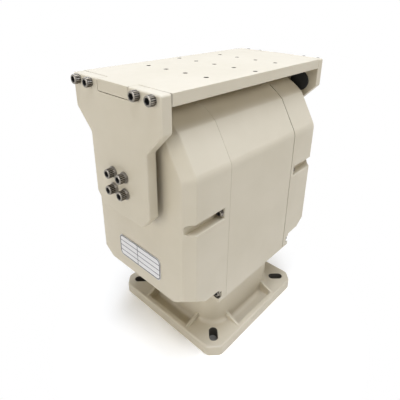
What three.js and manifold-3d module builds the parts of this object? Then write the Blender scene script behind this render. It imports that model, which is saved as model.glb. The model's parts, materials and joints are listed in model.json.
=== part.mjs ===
// Remote pan tilt head: a geared two-axis positioner with a payload plate on two arms.
// Millimetres, +Z up, origin at the middle of the base's underside, tilt axis along X.
import * as THREE from "three";
import { mergeVertices } from "three/addons/utils/BufferGeometryUtils.js";
import Module from "manifold-3d";

const wasm = await Module();
wasm.setup();

// Driving dimensions of the base
const footWidth = 233;
const footHeight = 18;
const footFlange = 31.5;
const neckTop = 95;

// Driving dimensions of the turning head
const headGap = 3;
const headDepth = 210;
const centreWidth = 160;
const coverLength = 78.25;
const tiltRise = 196;
const facetRise = 26.25;
const shoulderRadius = 20;
const bandWidth = 13.25;

// Driving dimensions of the payload bracket
const plateDepth = 176;
const plateThickness = 15.25;
const plateGap = 9.25;
const armGap = 9;
const armThickness = 15;

// Clearance of seated faces and of turning ones, and how far a cutting body overruns
const seat = 0.25;
const running = 0.5;
const overrun = 5;

// Base casting
const footChamfer = 15.5;
const footEdge = 2.5;
const rimWidth = 9;
const pocketDepth = 10;
const neckCorner = 36;
const neckCornerSteps = 6;
const neckWall = 8;
const neckDeck = 10;
const ribThickness = 5;
const ribSetback = 35;
const ribRise = 11;
const slotMargin = 25.25;
const slotWidth = 14;
const slotLength = 26;

// Power and signal inlet on the back of the neck
const inletDrop = 37;
const inletPlate = 32;
const inletPlateThickness = 4;
const inletBarrelRadius = 11;
const inletBarrelLength = 16;
const inletCapRadius = 13.5;
const inletCapLength = 9;
const inletBackRadius = 9;
const inletBackLength = 12;

// Pan spindle and its two bearings
const spindleFlangeRadius = 62;
const spindleFlange = 8;
const spindleCollarRadius = 36;
const spindleRadius = 30;
const spindleTopRadius = 26;
const spindleBore = 16;
const sealDepth = 6;
const panBearingWidth = 18;
const panRing = 5.5;
const panBallTrack = 6.5;
const panBalls = 11;
const panShoulder = 23.5;
const shoulderLip = 4.5;
const nutThickness = 7;
const nutWidth = 10;
const panHousingWall = 8.25;
const panHousingLip = 3.5;

// Spur gears of both axes
const gearModule = 2;
const panRatio = 2.5;
const tiltRatio = 2.8;
const gearWidth = 14;
const pinionSideReach = 1;
const pressureAngle = THREE.MathUtils.degToRad(20);
const addendumShare = 0.95;
const dedendumShare = 1.25;
const backlash = 0.3;

// Geared motors and the shafts of their pinions
const motorShaftRadius = 5;
const motorShaftDepth = 28;
const gearboxRadius = 26;
const gearboxLength = 45;
const motorRadius = 23;
const motorLength = 52;
const motorCapRadius = 17;
const motorCap = 5;
const motorPilotRadius = 8;
const panMotorPlaceShare = 0.545;
const tiltMotorClearance = 2;

// Slip ring in the top of the spindle
const slipRingLength = 40;
const slipFlangeRadius = 23;
const slipFlange = 4;
const slipRotorRadius = 11;
const slipRotorLength = 10;
const slipArmWidth = 8;
const slipArmThickness = 3;
const slipArmRise = 5;

// Centre casting of the head
const castWall = 6;
const bulkhead = 8;
const facetEndAngle = THREE.MathUtils.degToRad(46);
const domeSteps = 14;
const shoulderSteps = 3;
const shelfRise = 8;
const shelfThickness = 8;
const shelfWidth = 76;
const shelfMargin = 3;
const windowWidth = 100;
const windowRise = 24;
const windowHeight = 38;

// End covers of the head
const coverWall = 5;
const lugLength = 10.75;
const grooveHeight = 16;
const grooveDepth = 12.5;
const grooveWall = 4;
const lugPocketRadius = 8.25;
const upperScrewRise = 152.5;
const lowerScrewRise = 13;
const stepHeight = 23;
const stepInset = 16.75;
const cornerFacet = 14;
const gasket = 0.75;
const coverRim = 2;
const gasketWidth = 10;

// Cover screws, M6
const coverScrewRadius = 3;
const coverScrewHead = 5;
const coverScrewHeadLength = 6;
const coverScrewLength = 30;
const coverScrewSocket = 2.5;
const coverScrewSocketDepth = 3;
const screwBossWidth = 16;
const screwBossLength = 24;

// Tilt shaft, its hubs, bearings and seals
const shaftRadius = 20;
const shaftBore = 10;
const shaftCollar = 4;
const shaftCollarLength = 6;
const hubRadius = 28;
const hubLength = 27.25;
const hubGrip = 23;
const hubWeb = 2;
const tiltBearingWidth = 14;
const tiltBearingInset = 4;
const tiltRing = 3.5;
const tiltBallTrack = 4;
const tiltBalls = 9;
const tiltBossWall = 9;
const tiltGearOffset = 12;
const gearHubWall = 5;
const sealWidth = 9.75;
const sealLength = 8;
const sealInset = 1;
const sealBossWall = 5.5;
const tiltDriveAngle = THREE.MathUtils.degToRad(232);

// Control board in the left cover
const boardWidth = 120;
const boardHeight = 84;
const boardThickness = 2;
const boardClearance = 16;
const standoffLength = 9;
const standoffRadius = 3;
const standoffInset = 6;
const chipHeight = 11;

// Name plate place on the left cover, left bare
const labelWidth = 94.5;
const labelHeight = 37.5;
const labelThickness = 0.75;
const labelRise = 44.5;
const labelCorner = 7;

// Arms and payload plate
const armWaist = 116;
const armShoulderDrop = 45.5;
const armWaistDrop = 76;
const armReach = 50.5;
const armFootSide = 15;
const armFootRise = 18;
const tongueWidth = 62;
const plateHoleRadius = 3.5;
const plateHolePitchX = 80;
const plateHolePitchY = 38;
const rowPlacesShare = [[-1.5, -0.5, 0.5, 1.5], [-2, -1, 0, 1, 2], [-1.5, -0.5, 0.5, 1.5]];
const topScrewInner = 94.5;
const topScrewPitch = 27.5;
const topScrewDrop = 7;
const shaftScrewSpacing = 24;

// Bracket screws, M8; those at the shaft have a spring washer over a flat washer
const screwRadius = 4;
const screwLength = 30;
const screwTipRoom = 2.5;
const washerRadius = 8;
const washer = 3;
const headRadius = 6.5;
const headLength = 8;
const socketRadius = 3.4;
const socketDepth = 4;

// Cable grommet in the right arm
const grommetRadius = 17.5;
const grommetHole = 14;
const grommetLip = 3;
const grommetPlaceY = -56;
const grommetDrop = 25;

// Sides of round faces, by how large they are
const sidesSmall = 10;
const sidesMedium = 16;
const sidesLarge = 24;
const arcSides = 8;

// Levels and places that follow from the sizes above
const neckWidth = footWidth - 2 * footFlange;
const ribOffset = neckWidth / 2 - ribSetback;
const inletRise = neckTop - inletDrop;
const slotSpacing = footWidth - 2 * slotMargin;
const headBottom = neckTop + headGap;
const tiltAxis = headBottom + tiltRise;
const domeRadius = Math.hypot(headDepth / 2, facetRise);
const centreEnd = centreWidth / 2;
const coverStart = centreEnd + seat;
const coverEnd = coverStart + coverLength;
const armInner = coverEnd + armGap;
const armOuter = armInner + armThickness;
const hubFace = armInner - seat;
const screwHoleDepth = screwLength - washer - armThickness - 2 * seat + screwTipRoom;
const edgeHoleDepth = screwHoleDepth + washer;
const shaftSocketEnd = hubFace - screwHoleDepth - hubWeb;
const plateBottom = domeRadius + plateGap;
const plateTop = plateBottom + plateThickness;
const panBearingRadius = spindleRadius + 2 * panRing + panBallTrack;
const tiltBearingRadius = shaftRadius + 2 * tiltRing + tiltBallTrack;
const shoulderLevel = headBottom + sealDepth;
const lowerBearing = shoulderLevel + seat;
const housingShoulder = lowerBearing + panBearingWidth + seat;
const upperBearing = housingShoulder + panShoulder + seat;
const nutBottom = upperBearing + panBearingWidth + seat;
const nutTop = nutBottom + nutThickness;
const panGearBottom = nutTop + seat + pinionSideReach;
const panGearTop = panGearBottom + gearWidth;
const shelfBottom = panGearTop + shelfRise;
const shelfTop = shelfBottom + shelfThickness;
const tiltBearing = centreEnd - tiltBearingInset - tiltBearingWidth;
const tiltGearStart = centreEnd - tiltBearingInset + seat + tiltGearOffset;
const panMotorRoom = headDepth / 2 - castWall - shaftRadius;
const panMotorReach = shaftRadius + panMotorPlaceShare * panMotorRoom;
const panTeeth = Math.round((2 * panMotorReach) / gearModule);
const panPinionTeeth = Math.round(panTeeth / (1 + panRatio));
const panGearTeeth = panTeeth - panPinionTeeth;
const panDriveRadius = (gearModule * panTeeth) / 2;
const shelfFront = panDriveRadius - gearboxRadius - shelfMargin;
const tiltBossRadius = tiltBearingRadius + tiltBossWall;
const tiltMotorReach = tiltBossRadius + gearboxRadius + tiltMotorClearance;
const tiltTeeth = Math.round((2 * tiltMotorReach) / gearModule);
const tiltPinionTeeth = Math.round(tiltTeeth / (1 + tiltRatio));
const tiltGearTeeth = tiltTeeth - tiltPinionTeeth;
const tiltDriveRadius = (gearModule * tiltTeeth) / 2;
const tiltDriveY = tiltDriveRadius * Math.cos(tiltDriveAngle);
const tiltDriveZ = tiltAxis + tiltDriveRadius * Math.sin(tiltDriveAngle);
const screwHole = screwRadius + seat;
const coverScrewHole = coverScrewRadius + seat;
const screwDepthY = headDepth / 2 - grooveDepth / 2;
const coverScrewPlaces = [
  { z: headBottom + upperScrewRise, head: coverStart + lugLength },
  { z: headBottom + lowerScrewRise, head: coverStart + lugLength },
];

// Axes along which prisms are drawn and round bodies are turned
const alongX = new THREE.Matrix4().makeBasis(
  new THREE.Vector3(0, 1, 0),
  new THREE.Vector3(0, 0, 1),
  new THREE.Vector3(1, 0, 0),
);
const alongY = new THREE.Matrix4().makeBasis(
  new THREE.Vector3(0, 0, 1),
  new THREE.Vector3(1, 0, 0),
  new THREE.Vector3(0, 1, 0),
);
const alongZ = new THREE.Matrix4();

// A geometry as a solid that can be joined and cut
function solid(geometry) {
  const bare = geometry.index ? geometry.toNonIndexed() : geometry.clone();
  bare.deleteAttribute("normal");
  bare.deleteAttribute("uv");
  const merged = mergeVertices(bare);
  const corners = merged.index.array;
  const kept = [];
  for (let i = 0; i < corners.length; i += 3) {
    const [a, b, c] = corners.slice(i, i + 3);
    if (a !== b && b !== c && c !== a) kept.push(a, b, c);
  }
  const mesh = new wasm.Mesh({
    numProp: 3,
    vertProperties: merged.attributes.position.array,
    triVerts: new Uint32Array(kept),
  });
  return new wasm.Manifold(mesh);
}

// A finished solid as a geometry
function geometryOf(body) {
  const { vertProperties, triVerts } = body.getMesh();
  const geometry = new THREE.BufferGeometry();
  geometry.setAttribute("position", new THREE.BufferAttribute(vertProperties, 3));
  geometry.setIndex(new THREE.BufferAttribute(triVerts, 1));
  geometry.computeVertexNormals();
  return geometry;
}

// A box between two corners
function block(low, high) {
  const from = new THREE.Vector3(...low);
  const to = new THREE.Vector3(...high);
  const size = to.clone().sub(from);
  const middle = from.add(to).multiplyScalar(1 / 2);
  return solid(new THREE.BoxGeometry(...size).translate(...middle));
}

// An outline drawn out along an axis from one level to another
function prism(outline, from, to, axis) {
  const shape = Array.isArray(outline) ? new THREE.Shape(outline) : outline;
  const geometry = new THREE.ExtrudeGeometry(shape, {
    depth: to - from,
    bevelEnabled: false,
    curveSegments: arcSides,
  });
  return solid(geometry.translate(0, 0, from).applyMatrix4(axis));
}

// A round body turned about an axis from points of radius and height
function turned(points, sides, axis) {
  const profile = points.map(([radius, height]) => new THREE.Vector2(radius, height));
  if (THREE.ShapeUtils.area(profile) < 0) profile.reverse();
  const geometry = new THREE.LatheGeometry(profile, sides).rotateX(Math.PI / 2);
  return solid(geometry.applyMatrix4(axis));
}

// A plain round bar or cutter between two levels
function rod(radius, from, to, sides, axis) {
  return turned([[0, from], [radius, from], [radius, to], [0, to]], sides, axis);
}

// A plain ring between two levels
function ring(inner, outer, from, to, sides, axis) {
  const points = [[inner, from], [outer, from], [outer, to], [inner, to], [inner, from]];
  return turned(points, sides, axis);
}

// A solid moved to a place
function moved(body, x, y, z) {
  return body.translate([x, y, z]);
}

// A convex outline with every edge drawn in by a distance
function drawnIn(outline, distance) {
  return outline.map((corner, i) => {
    const before = outline.at(i - 1);
    const after = outline[(i + 1) % outline.length];
    const into = corner.clone().sub(before).normalize();
    const out = after.clone().sub(corner).normalize();
    const sum = new THREE.Vector2(-into.y - out.y, into.x + out.x);
    return corner.clone().addScaledVector(sum, distance / (1 + into.dot(out)));
  });
}

// A closed body through convex outlines that lie across an axis
function loft(sections, axis) {
  const count = sections[0].outline.length;
  const positions = [];
  const index = [];
  for (const { at, outline } of sections) {
    for (const point of outline) positions.push(point.x, point.y, at);
  }
  for (let k = 0; k < sections.length - 1; k += 1) {
    for (let i = 0; i < count; i += 1) {
      const a = k * count + i;
      const b = k * count + ((i + 1) % count);
      index.push(a, b, b + count, a, b + count, a + count);
    }
  }
  const last = (sections.length - 1) * count;
  for (let i = 1; i < count - 1; i += 1) {
    index.push(0, i + 1, i, last, last + i, last + i + 1);
  }
  const geometry = new THREE.BufferGeometry();
  geometry.setAttribute("position", new THREE.Float32BufferAttribute(positions, 3));
  geometry.setIndex(index);
  return solid(geometry.applyMatrix4(axis));
}

// A square with cut corners, counterclockwise
function octagon(width, chamfer) {
  const half = width / 2;
  const short = half - chamfer;
  const corners = [[half, -short], [half, short], [short, half], [-short, half]];
  const rest = corners.map(([x, y]) => [-x, -y]);
  return [...corners, ...rest].map(([x, y]) => new THREE.Vector2(x, y));
}

// A square with round corners, counterclockwise
function roundedSquare(width, radius, steps) {
  const middle = width / 2 - radius;
  const outline = [];
  for (const [k, [x, y]] of [[1, 1], [-1, 1], [-1, -1], [1, -1]].entries()) {
    for (let i = 0; i <= steps; i += 1) {
      const angle = ((k + i / steps) * Math.PI) / 2;
      const arm = new THREE.Vector2(Math.cos(angle), Math.sin(angle)).multiplyScalar(radius);
      outline.push(arm.add(new THREE.Vector2(x * middle, y * middle)));
    }
  }
  return outline;
}

// A slot with round ends along X
function slotShape(length, width) {
  const radius = width / 2;
  const reach = length / 2 - radius;
  const shape = new THREE.Shape();
  shape.absarc(reach, 0, radius, -Math.PI / 2, Math.PI / 2);
  shape.absarc(-reach, 0, radius, Math.PI / 2, (Math.PI * 3) / 2);
  return shape;
}

// Side outline of the head in Y and Z: straight walls, a facet each side, and an arched top
function headOutline() {
  const half = headDepth / 2;
  const facetEnd = new THREE.Vector2(
    domeRadius * Math.cos(facetEndAngle),
    tiltAxis + domeRadius * Math.sin(facetEndAngle),
  );
  const slope = Math.atan2(half - facetEnd.x, facetEnd.y - tiltAxis - facetRise);
  const cornerDrop = shoulderRadius * Math.tan(slope / 2);
  const shoulder = [];
  for (let i = 0; i <= shoulderSteps; i += 1) {
    const angle = (slope * i) / shoulderSteps;
    shoulder.push(
      new THREE.Vector2(
        half - shoulderRadius * (1 - Math.cos(angle)),
        tiltAxis + facetRise - cornerDrop + shoulderRadius * Math.sin(angle),
      ),
    );
  }
  const points = [
    new THREE.Vector2(-half, headBottom),
    new THREE.Vector2(half, headBottom),
    ...shoulder,
  ];
  const sweep = Math.PI - 2 * facetEndAngle;
  for (let i = 0; i <= domeSteps; i += 1) {
    const angle = facetEndAngle + (sweep * i) / domeSteps;
    points.push(
      new THREE.Vector2(domeRadius * Math.cos(angle), tiltAxis + domeRadius * Math.sin(angle)),
    );
  }
  const otherShoulder = shoulder.map(({ x, y }) => new THREE.Vector2(-x, y)).reverse();
  return [...points, ...otherShoulder];
}

// Outline of a spur gear with involute flanks, with a tooth at a given angle
function gearOutline(teeth, toothAngle) {
  const pitch = (gearModule * teeth) / 2;
  const base = pitch * Math.cos(pressureAngle);
  const tip = pitch + gearModule * addendumShare;
  const root = pitch - gearModule * dedendumShare;
  const involute = (radius) => {
    const roll = Math.sqrt(Math.max((radius / base) ** 2 - 1, 0));
    return roll - Math.atan(roll);
  };
  const halfTooth = Math.PI / (2 * teeth) - backlash / (4 * pitch);
  const halfAt = (radius) => halfTooth + involute(pitch) - involute(radius);
  const flank = [root, tip];
  const outline = [];
  for (let k = 0; k < teeth; k += 1) {
    const middle = toothAngle + (2 * Math.PI * k) / teeth;
    const put = (radius, angle) =>
      outline.push(new THREE.Vector2(radius * Math.cos(angle), radius * Math.sin(angle)));
    flank.forEach((radius) => put(radius, middle - halfAt(Math.max(radius, base))));
    [...flank].reverse().forEach((radius) => put(radius, middle + halfAt(Math.max(radius, base))));
  }
  return outline;
}

// Finishes of the pieces
const looks = {
  coat: { color: 0xdcd5c3, roughness: 0.55, metalness: 0.1 },
  steel: { color: 0xb9b9b6, roughness: 0.35, metalness: 0.9 },
  gear: { color: 0x9a9a98, roughness: 0.4, metalness: 0.9 },
  motor: { color: 0x3b3d40, roughness: 0.5, metalness: 0.4 },
  rubber: { color: 0x1b1b1b, roughness: 0.85, metalness: 0 },
  board: { color: 0x1f5a3a, roughness: 0.6, metalness: 0 },
  plastic: { color: 0x2a2a2c, roughness: 0.6, metalness: 0 },
  label: { color: 0xf2f2ee, roughness: 0.4, metalness: 0 },
};

// A named piece of the assembly
function piece(group, name, body, look, place) {
  const geometry = body.isBufferGeometry ? body : geometryOf(body);
  const mesh = new THREE.Mesh(geometry, new THREE.MeshStandardMaterial(looks[look]));
  mesh.name = name;
  if (place) mesh.position.set(...place);
  group.add(mesh);
  return mesh;
}

// Base: flange with side pockets, ribs and diagonal slots, and a hollow neck with round corners
function baseCasting() {
  const foot = octagon(footWidth, footChamfer);
  const neck = roundedSquare(neckWidth, neckCorner, neckCornerSteps);
  const neckHalf = neckWidth / 2;
  const pocketOuter = footWidth / 2 - rimWidth;
  const pocketHalf = ribOffset - ribThickness / 2;
  const ribOuter = footWidth / 2 - footEdge;
  const ribInner = neckHalf - neckWall / 2;
  let body = loft(
    [
      { at: 0, outline: foot },
      { at: footHeight - footEdge, outline: foot },
      { at: footHeight, outline: drawnIn(foot, footEdge) },
    ],
    alongZ,
  );
  const pocket = block(
    [neckHalf - overrun, -pocketHalf, footHeight - pocketDepth],
    [pocketOuter, pocketHalf, footHeight + overrun],
  );
  const ribSide = [
    [ribInner, footHeight - pocketDepth],
    [ribOuter, footHeight - pocketDepth],
    [ribOuter, footHeight],
    [ribInner, footHeight + ribRise],
  ].map(([x, z]) => new THREE.Vector2(z, x));
  const rib = prism(ribSide, -ribThickness / 2, ribThickness / 2, alongY);
  const slot = prism(slotShape(slotLength, slotWidth), -overrun, footHeight + overrun, alongZ);
  const quarter = 90;
  for (let k = 0; k < 4; k += 1) {
    body = body.subtract(pocket.rotate([0, 0, quarter * k]));
  }
  body = body.add(prism(neck, 0, neckTop, alongZ));
  for (let k = 0; k < 4; k += 1) {
    for (const side of [-1, 1]) {
      body = body.add(moved(rib, 0, side * ribOffset, 0).rotate([0, 0, quarter * k]));
    }
    const diagonal = slot.rotate([0, 0, quarter / 2]);
    const place = slotSpacing / 2;
    body = body.subtract(moved(diagonal, place, place, 0).rotate([0, 0, quarter * k]));
  }
  const deckBottom = neckTop - spindleFlange - neckDeck;
  const chamber = prism(drawnIn(neck, neckWall), -overrun, deckBottom, alongZ);
  const recess = rod(
    spindleFlangeRadius + seat,
    neckTop - spindleFlange,
    neckTop + overrun,
    sidesLarge,
    alongZ,
  );
  const cableHole = rod(spindleRadius, deckBottom - overrun, neckTop, sidesLarge, alongZ);
  const inletHole = rod(
    inletBackRadius + seat,
    neckHalf - neckWall - overrun,
    neckHalf + overrun,
    sidesMedium,
    alongY,
  );
  return body
    .subtract(chamber)
    .subtract(recess)
    .subtract(cableHole)
    .subtract(moved(inletHole, 0, 0, inletRise));
}

// Square-flanged round inlet with its screwed cap, on the back of the neck
function inletConnector() {
  const face = neckWidth / 2 + seat;
  const half = inletPlate / 2;
  const plateEnd = face + inletPlateThickness;
  const barrelEnd = plateEnd + inletBarrelLength;
  const plate = block([-half, face, -half], [half, plateEnd, half]);
  const turnedPart = turned(
    [
      [0, face - neckWall - inletBackLength],
      [inletBackRadius, face - neckWall - inletBackLength],
      [inletBackRadius, face + inletPlateThickness / 2],
      [inletBarrelRadius, face + inletPlateThickness / 2],
      [inletBarrelRadius, barrelEnd - inletCapLength],
      [inletCapRadius, barrelEnd - inletCapLength],
      [inletCapRadius, barrelEnd],
      [0, barrelEnd],
    ],
    sidesMedium,
    alongY,
  );
  return plate.add(turnedPart);
}

// Hollow spindle that the head turns on
function panSpindle() {
  const flangeBottom = neckTop - spindleFlange + seat;
  return turned(
    [
      [spindleBore, flangeBottom],
      [spindleFlangeRadius, flangeBottom],
      [spindleFlangeRadius, neckTop],
      [spindleCollarRadius, neckTop],
      [spindleCollarRadius, shoulderLevel],
      [spindleRadius, shoulderLevel],
      [spindleRadius, nutTop],
      [spindleTopRadius, nutTop],
      [spindleTopRadius, panGearTop],
      [spindleBore, panGearTop],
      [spindleBore, flangeBottom],
    ],
    sidesLarge,
    alongZ,
  );
}

// Ball bearing: an inner ring, and an outer ring that holds the set of balls
function innerRing(bore, width, wall) {
  return ring(bore + seat, bore + wall, 0, width, sidesLarge, alongZ);
}

function outerRing(bore, outer, width, wall, balls) {
  const inside = outer - wall;
  const ballRadius = (inside - bore - wall) / 2;
  const ballPlace = inside - ballRadius + seat;
  const ball = solid(new THREE.SphereGeometry(ballRadius, sidesSmall / 2 + 1, 4).rotateX(Math.PI / 2));
  const placed = moved(ball, ballPlace, 0, width / 2);
  let body = ring(inside, outer, 0, width, sidesLarge, alongZ);
  for (let k = 0; k < balls; k += 1) {
    body = body.add(placed.rotate([0, 0, (360 * k) / balls]));
  }
  return body;
}

// Spur gear with a bore and a hub that stands out on one side
function spurGear(teeth, toothAngle, bore, hubStart, hubRadiusOuter) {
  let body = prism(gearOutline(teeth, toothAngle), 0, gearWidth, alongZ);
  body = body.add(rod(hubRadiusOuter, hubStart, gearWidth, sidesLarge, alongZ));
  const through = rod(bore, hubStart - overrun, gearWidth + overrun, sidesLarge, alongZ);
  return body.subtract(through);
}

// Pinion on the output shaft of a geared motor
function drivePinion(teeth, toothAngle, shaftStart) {
  const width = gearWidth + 2 * pinionSideReach;
  const body = prism(gearOutline(teeth, toothAngle), 0, width, alongZ);
  return body.add(rod(motorShaftRadius, shaftStart, width / 2, sidesMedium, alongZ));
}

// Geared motor with its face at zero and its body along the axis
function gearMotor() {
  const boxEnd = gearboxLength;
  const end = boxEnd + motorLength;
  return turned(
    [
      [0, motorShaftDepth + running],
      [motorShaftRadius + running, motorShaftDepth + running],
      [motorShaftRadius + running, 0],
      [gearboxRadius, 0],
      [gearboxRadius, boxEnd],
      [motorRadius, boxEnd],
      [motorRadius, end],
      [motorCapRadius, end + motorCap],
      [0, end + motorCap],
    ],
    sidesMedium,
    alongZ,
  );
}

// Centre casting: an arched box with end bulkheads, bearing housings, a motor shelf and bosses
function centreCasting() {
  const outline = headOutline();
  const inside = drawnIn(outline, castWall);
  const half = headDepth / 2;
  const roomEnd = centreEnd - bulkhead;
  let body = prism(outline, -centreEnd, centreEnd, alongX);
  body = body.subtract(prism(inside, -roomEnd, roomEnd, alongX));

  const bossInner = tiltBearing - tiltBearingInset;
  const boreRadius = tiltBearingRadius + seat;
  const lipRadius = shaftRadius + shaftCollar + running;
  const housingRadius = panBearingRadius + panHousingWall;
  const housingTop = upperBearing + panBearingWidth + panHousingLip;
  const bearingBore = panBearingRadius + seat;
  const added = [rod(housingRadius, headBottom, housingTop, sidesLarge, alongZ)];
  const cuts = [
    rod(bearingBore, headBottom - overrun, housingShoulder, sidesLarge, alongZ),
    rod(bearingBore - shoulderLip, headBottom, housingTop + overrun, sidesLarge, alongZ),
    rod(bearingBore, housingShoulder + panShoulder, housingTop + overrun, sidesLarge, alongZ),
  ];
  for (const side of [-1, 1]) {
    const from = (x) => side * x;
    const span = (a, b) => [Math.min(from(a), from(b)), Math.max(from(a), from(b))];
    const round = (radius, a, b) => {
      const [low, high] = span(a, b);
      return moved(rod(radius, low, high, sidesLarge, alongX), 0, 0, tiltAxis);
    };
    added.push(round(tiltBossRadius, bossInner, centreEnd));
    cuts.push(round(boreRadius, tiltBearing - seat, centreEnd + overrun));
    cuts.push(round(lipRadius, bossInner - overrun, centreEnd));
    const [windowLow, windowHigh] = span(roomEnd - overrun, centreEnd + overrun);
    const windowBottom = headBottom + windowRise;
    cuts.push(
      block(
        [windowLow, -windowWidth / 2, windowBottom],
        [windowHigh, windowWidth / 2, windowBottom + windowHeight],
      ),
    );
    for (const front of [-1, 1]) {
      for (const { z } of coverScrewPlaces) {
        const [low, high] = span(centreEnd - screwBossLength, centreEnd);
        const edges = [front * (half - castWall / 2), front * (half - castWall - screwBossWidth / 2)];
        added.push(
          block(
            [low, Math.min(...edges), z - screwBossWidth / 2],
            [high, Math.max(...edges), z + screwBossWidth / 2],
          ),
        );
        const [holeLow, holeHigh] = span(centreEnd - screwBossLength, centreEnd + overrun);
        const hole = rod(coverScrewHole, holeLow, holeHigh, sidesSmall, alongX);
        cuts.push(moved(hole, 0, front * screwDepthY, z));
      }
    }
  }
  added.push(
    block(
      [-shelfWidth / 2, shelfFront, shelfBottom],
      [shelfWidth / 2, half - castWall / 2, shelfTop],
    ),
  );
  const panHole = rod(motorPilotRadius, shelfBottom - overrun, shelfTop + overrun, sidesMedium, alongZ);
  cuts.push(moved(panHole, 0, panDriveRadius, 0));
  const tiltHole = rod(motorPilotRadius, roomEnd - overrun, centreEnd + overrun, sidesMedium, alongX);
  cuts.push(moved(tiltHole, 0, tiltDriveY, tiltDriveZ));
  added.forEach((extra) => {
    body = body.add(extra);
  });
  cuts.forEach((cut) => {
    body = body.subtract(cut);
  });
  return body;
}

// Outer form of the right end cover, drawn in by a wall for its cavity
function coverForm(wall) {
  const outline = headOutline();
  const end = coverEnd - wall;
  const start = wall ? coverStart - overrun : coverStart;
  let body = loft(
    [
      { at: start, outline: drawnIn(outline, wall) },
      { at: end - bandWidth, outline: drawnIn(outline, wall) },
      { at: end, outline: drawnIn(outline, wall + bandWidth) },
    ],
    alongX,
  );
  const reach = headDepth;
  const stepTop = headBottom + stepHeight + wall;
  const stepStart = coverStart + stepInset - wall;
  body = body.subtract(
    block([stepStart, -reach, headBottom - reach], [coverEnd + reach, reach, stepTop]),
  );
  const bandDiagonal = (coverEnd - bandWidth + headDepth / 2) / Math.SQRT2;
  const facetTop = new THREE.Vector2(bandDiagonal - wall, stepTop - wall * Math.SQRT2 + cornerFacet);
  const facet = [
    facetTop,
    new THREE.Vector2(facetTop.x - 2 * cornerFacet, facetTop.y - 2 * cornerFacet),
    new THREE.Vector2(facetTop.x + 2 * cornerFacet, facetTop.y - 2 * cornerFacet),
    new THREE.Vector2(facetTop.x + 2 * cornerFacet, facetTop.y + 2 * cornerFacet),
  ].map(({ x, y }) => new THREE.Vector2(y, x));
  const wedge = prism(facet, -reach, reach, alongY);
  for (const turn of [-45, 45]) {
    body = body.subtract(wedge.rotate([0, 0, turn]));
  }
  return body;
}

// Screw groove seen from the front, square at the screw and round at the cover's edge
function grooveShape(level, from) {
  const radius = grooveHeight / 2;
  const shape = new THREE.Shape();
  shape.moveTo(level - radius, from);
  shape.lineTo(level + radius, from);
  shape.absarc(level, coverEnd - radius, radius, 0, Math.PI);
  return shape;
}

// Right end cover: a shell with a recess for its gasket, screw grooves, lugs and a seal seat
function endCover() {
  const half = headDepth / 2;
  const sealSeat = hubRadius + running + sealWidth + seat;
  const sealBoss = sealSeat + sealBossWall;
  const bossStart = coverEnd - sealInset - sealLength - sealInset;
  const grooveFloor = half - grooveDepth;
  let cavity = coverForm(coverWall);
  const recess = drawnIn(headOutline(), coverRim);
  const cuts = [prism(recess, coverStart - overrun, coverStart + gasket + seat, alongX)];
  for (const front of [-1, 1]) {
    for (const { z, head } of coverScrewPlaces) {
      const low = Math.max(z - grooveHeight / 2 - grooveWall, headBottom);
      const edges = [front * half, front * (grooveFloor - grooveWall)];
      cavity = cavity.subtract(
        block(
          [coverStart - overrun, Math.min(...edges), low],
          [coverEnd, Math.max(...edges), z + grooveHeight / 2 + grooveWall],
        ),
      );
      if (z > headBottom + stepHeight) {
        const floor = [front * grooveFloor, front * (half + overrun)];
        cuts.push(prism(grooveShape(z, head), Math.min(...floor), Math.max(...floor), alongY));
      } else {
        const pocket = rod(lugPocketRadius, head, coverEnd, sidesMedium, alongX);
        cuts.push(moved(pocket, 0, front * screwDepthY, z));
      }
      const hole = rod(coverScrewHole, coverStart - overrun, head + overrun, sidesSmall, alongX);
      cuts.push(moved(hole, 0, front * screwDepthY, z));
    }
  }
  const boss = rod(sealBoss, bossStart, coverEnd, sidesLarge, alongX);
  const sealHole = rod(sealSeat, bossStart - overrun, coverEnd + overrun, sidesLarge, alongX);
  let body = coverForm(0)
    .subtract(cavity)
    .add(moved(boss, 0, 0, tiltAxis))
    .subtract(moved(sealHole, 0, 0, tiltAxis));
  cuts.forEach((cut) => {
    body = body.subtract(cut);
  });
  return body;
}

// Right gasket between the centre casting and its cover
function coverGasket() {
  const outline = headOutline();
  const from = centreEnd + seat;
  const to = from + gasket;
  const inset = coverRim + seat;
  const outer = prism(drawnIn(outline, inset), from, to, alongX);
  const inner = prism(drawnIn(outline, inset + gasketWidth), from - overrun, to + overrun, alongX);
  let body = outer.subtract(inner);
  for (const front of [-1, 1]) {
    for (const { z } of coverScrewPlaces) {
      const hole = rod(coverScrewHole + seat, from - overrun, to + overrun, sidesSmall, alongX);
      body = body.subtract(moved(hole, 0, front * screwDepthY, z));
    }
  }
  return body;
}

// The same piece for the other end of the head
function mirrored(body) {
  return body.mirror([1, 0, 0]);
}

// Four screw holes round the tilt axis, between two levels
function screwHoles(from, to) {
  const holes = [];
  for (const y of [-shaftScrewSpacing / 2, shaftScrewSpacing / 2]) {
    for (const z of [-shaftScrewSpacing / 2, shaftScrewSpacing / 2]) {
      holes.push(moved(rod(screwHole, from, to, sidesSmall, alongX), 0, y, z));
    }
  }
  return holes;
}

// Tilt shaft with its left hub; the right hub is a piece of its own
function tiltShaft() {
  const hubStart = hubFace - hubLength;
  const rightEnd = shaftSocketEnd - seat;
  const collarEnd = tiltBearing - seat;
  const points = [
    [shaftBore, -hubFace],
    [hubRadius, -hubFace],
    [hubRadius, -hubStart],
    [shaftRadius, -hubStart],
    [shaftRadius, -collarEnd],
    [shaftRadius + shaftCollar, -collarEnd],
    [shaftRadius + shaftCollar, -collarEnd + shaftCollarLength],
    [shaftRadius, -collarEnd + shaftCollarLength],
    [shaftRadius, rightEnd],
    [shaftBore, rightEnd],
    [shaftBore, -hubFace],
  ];
  let body = turned(points, sidesLarge, alongX);
  screwHoles(-hubFace - overrun, -hubFace + screwHoleDepth).forEach((hole) => {
    body = body.subtract(hole);
  });
  return body;
}

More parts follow.
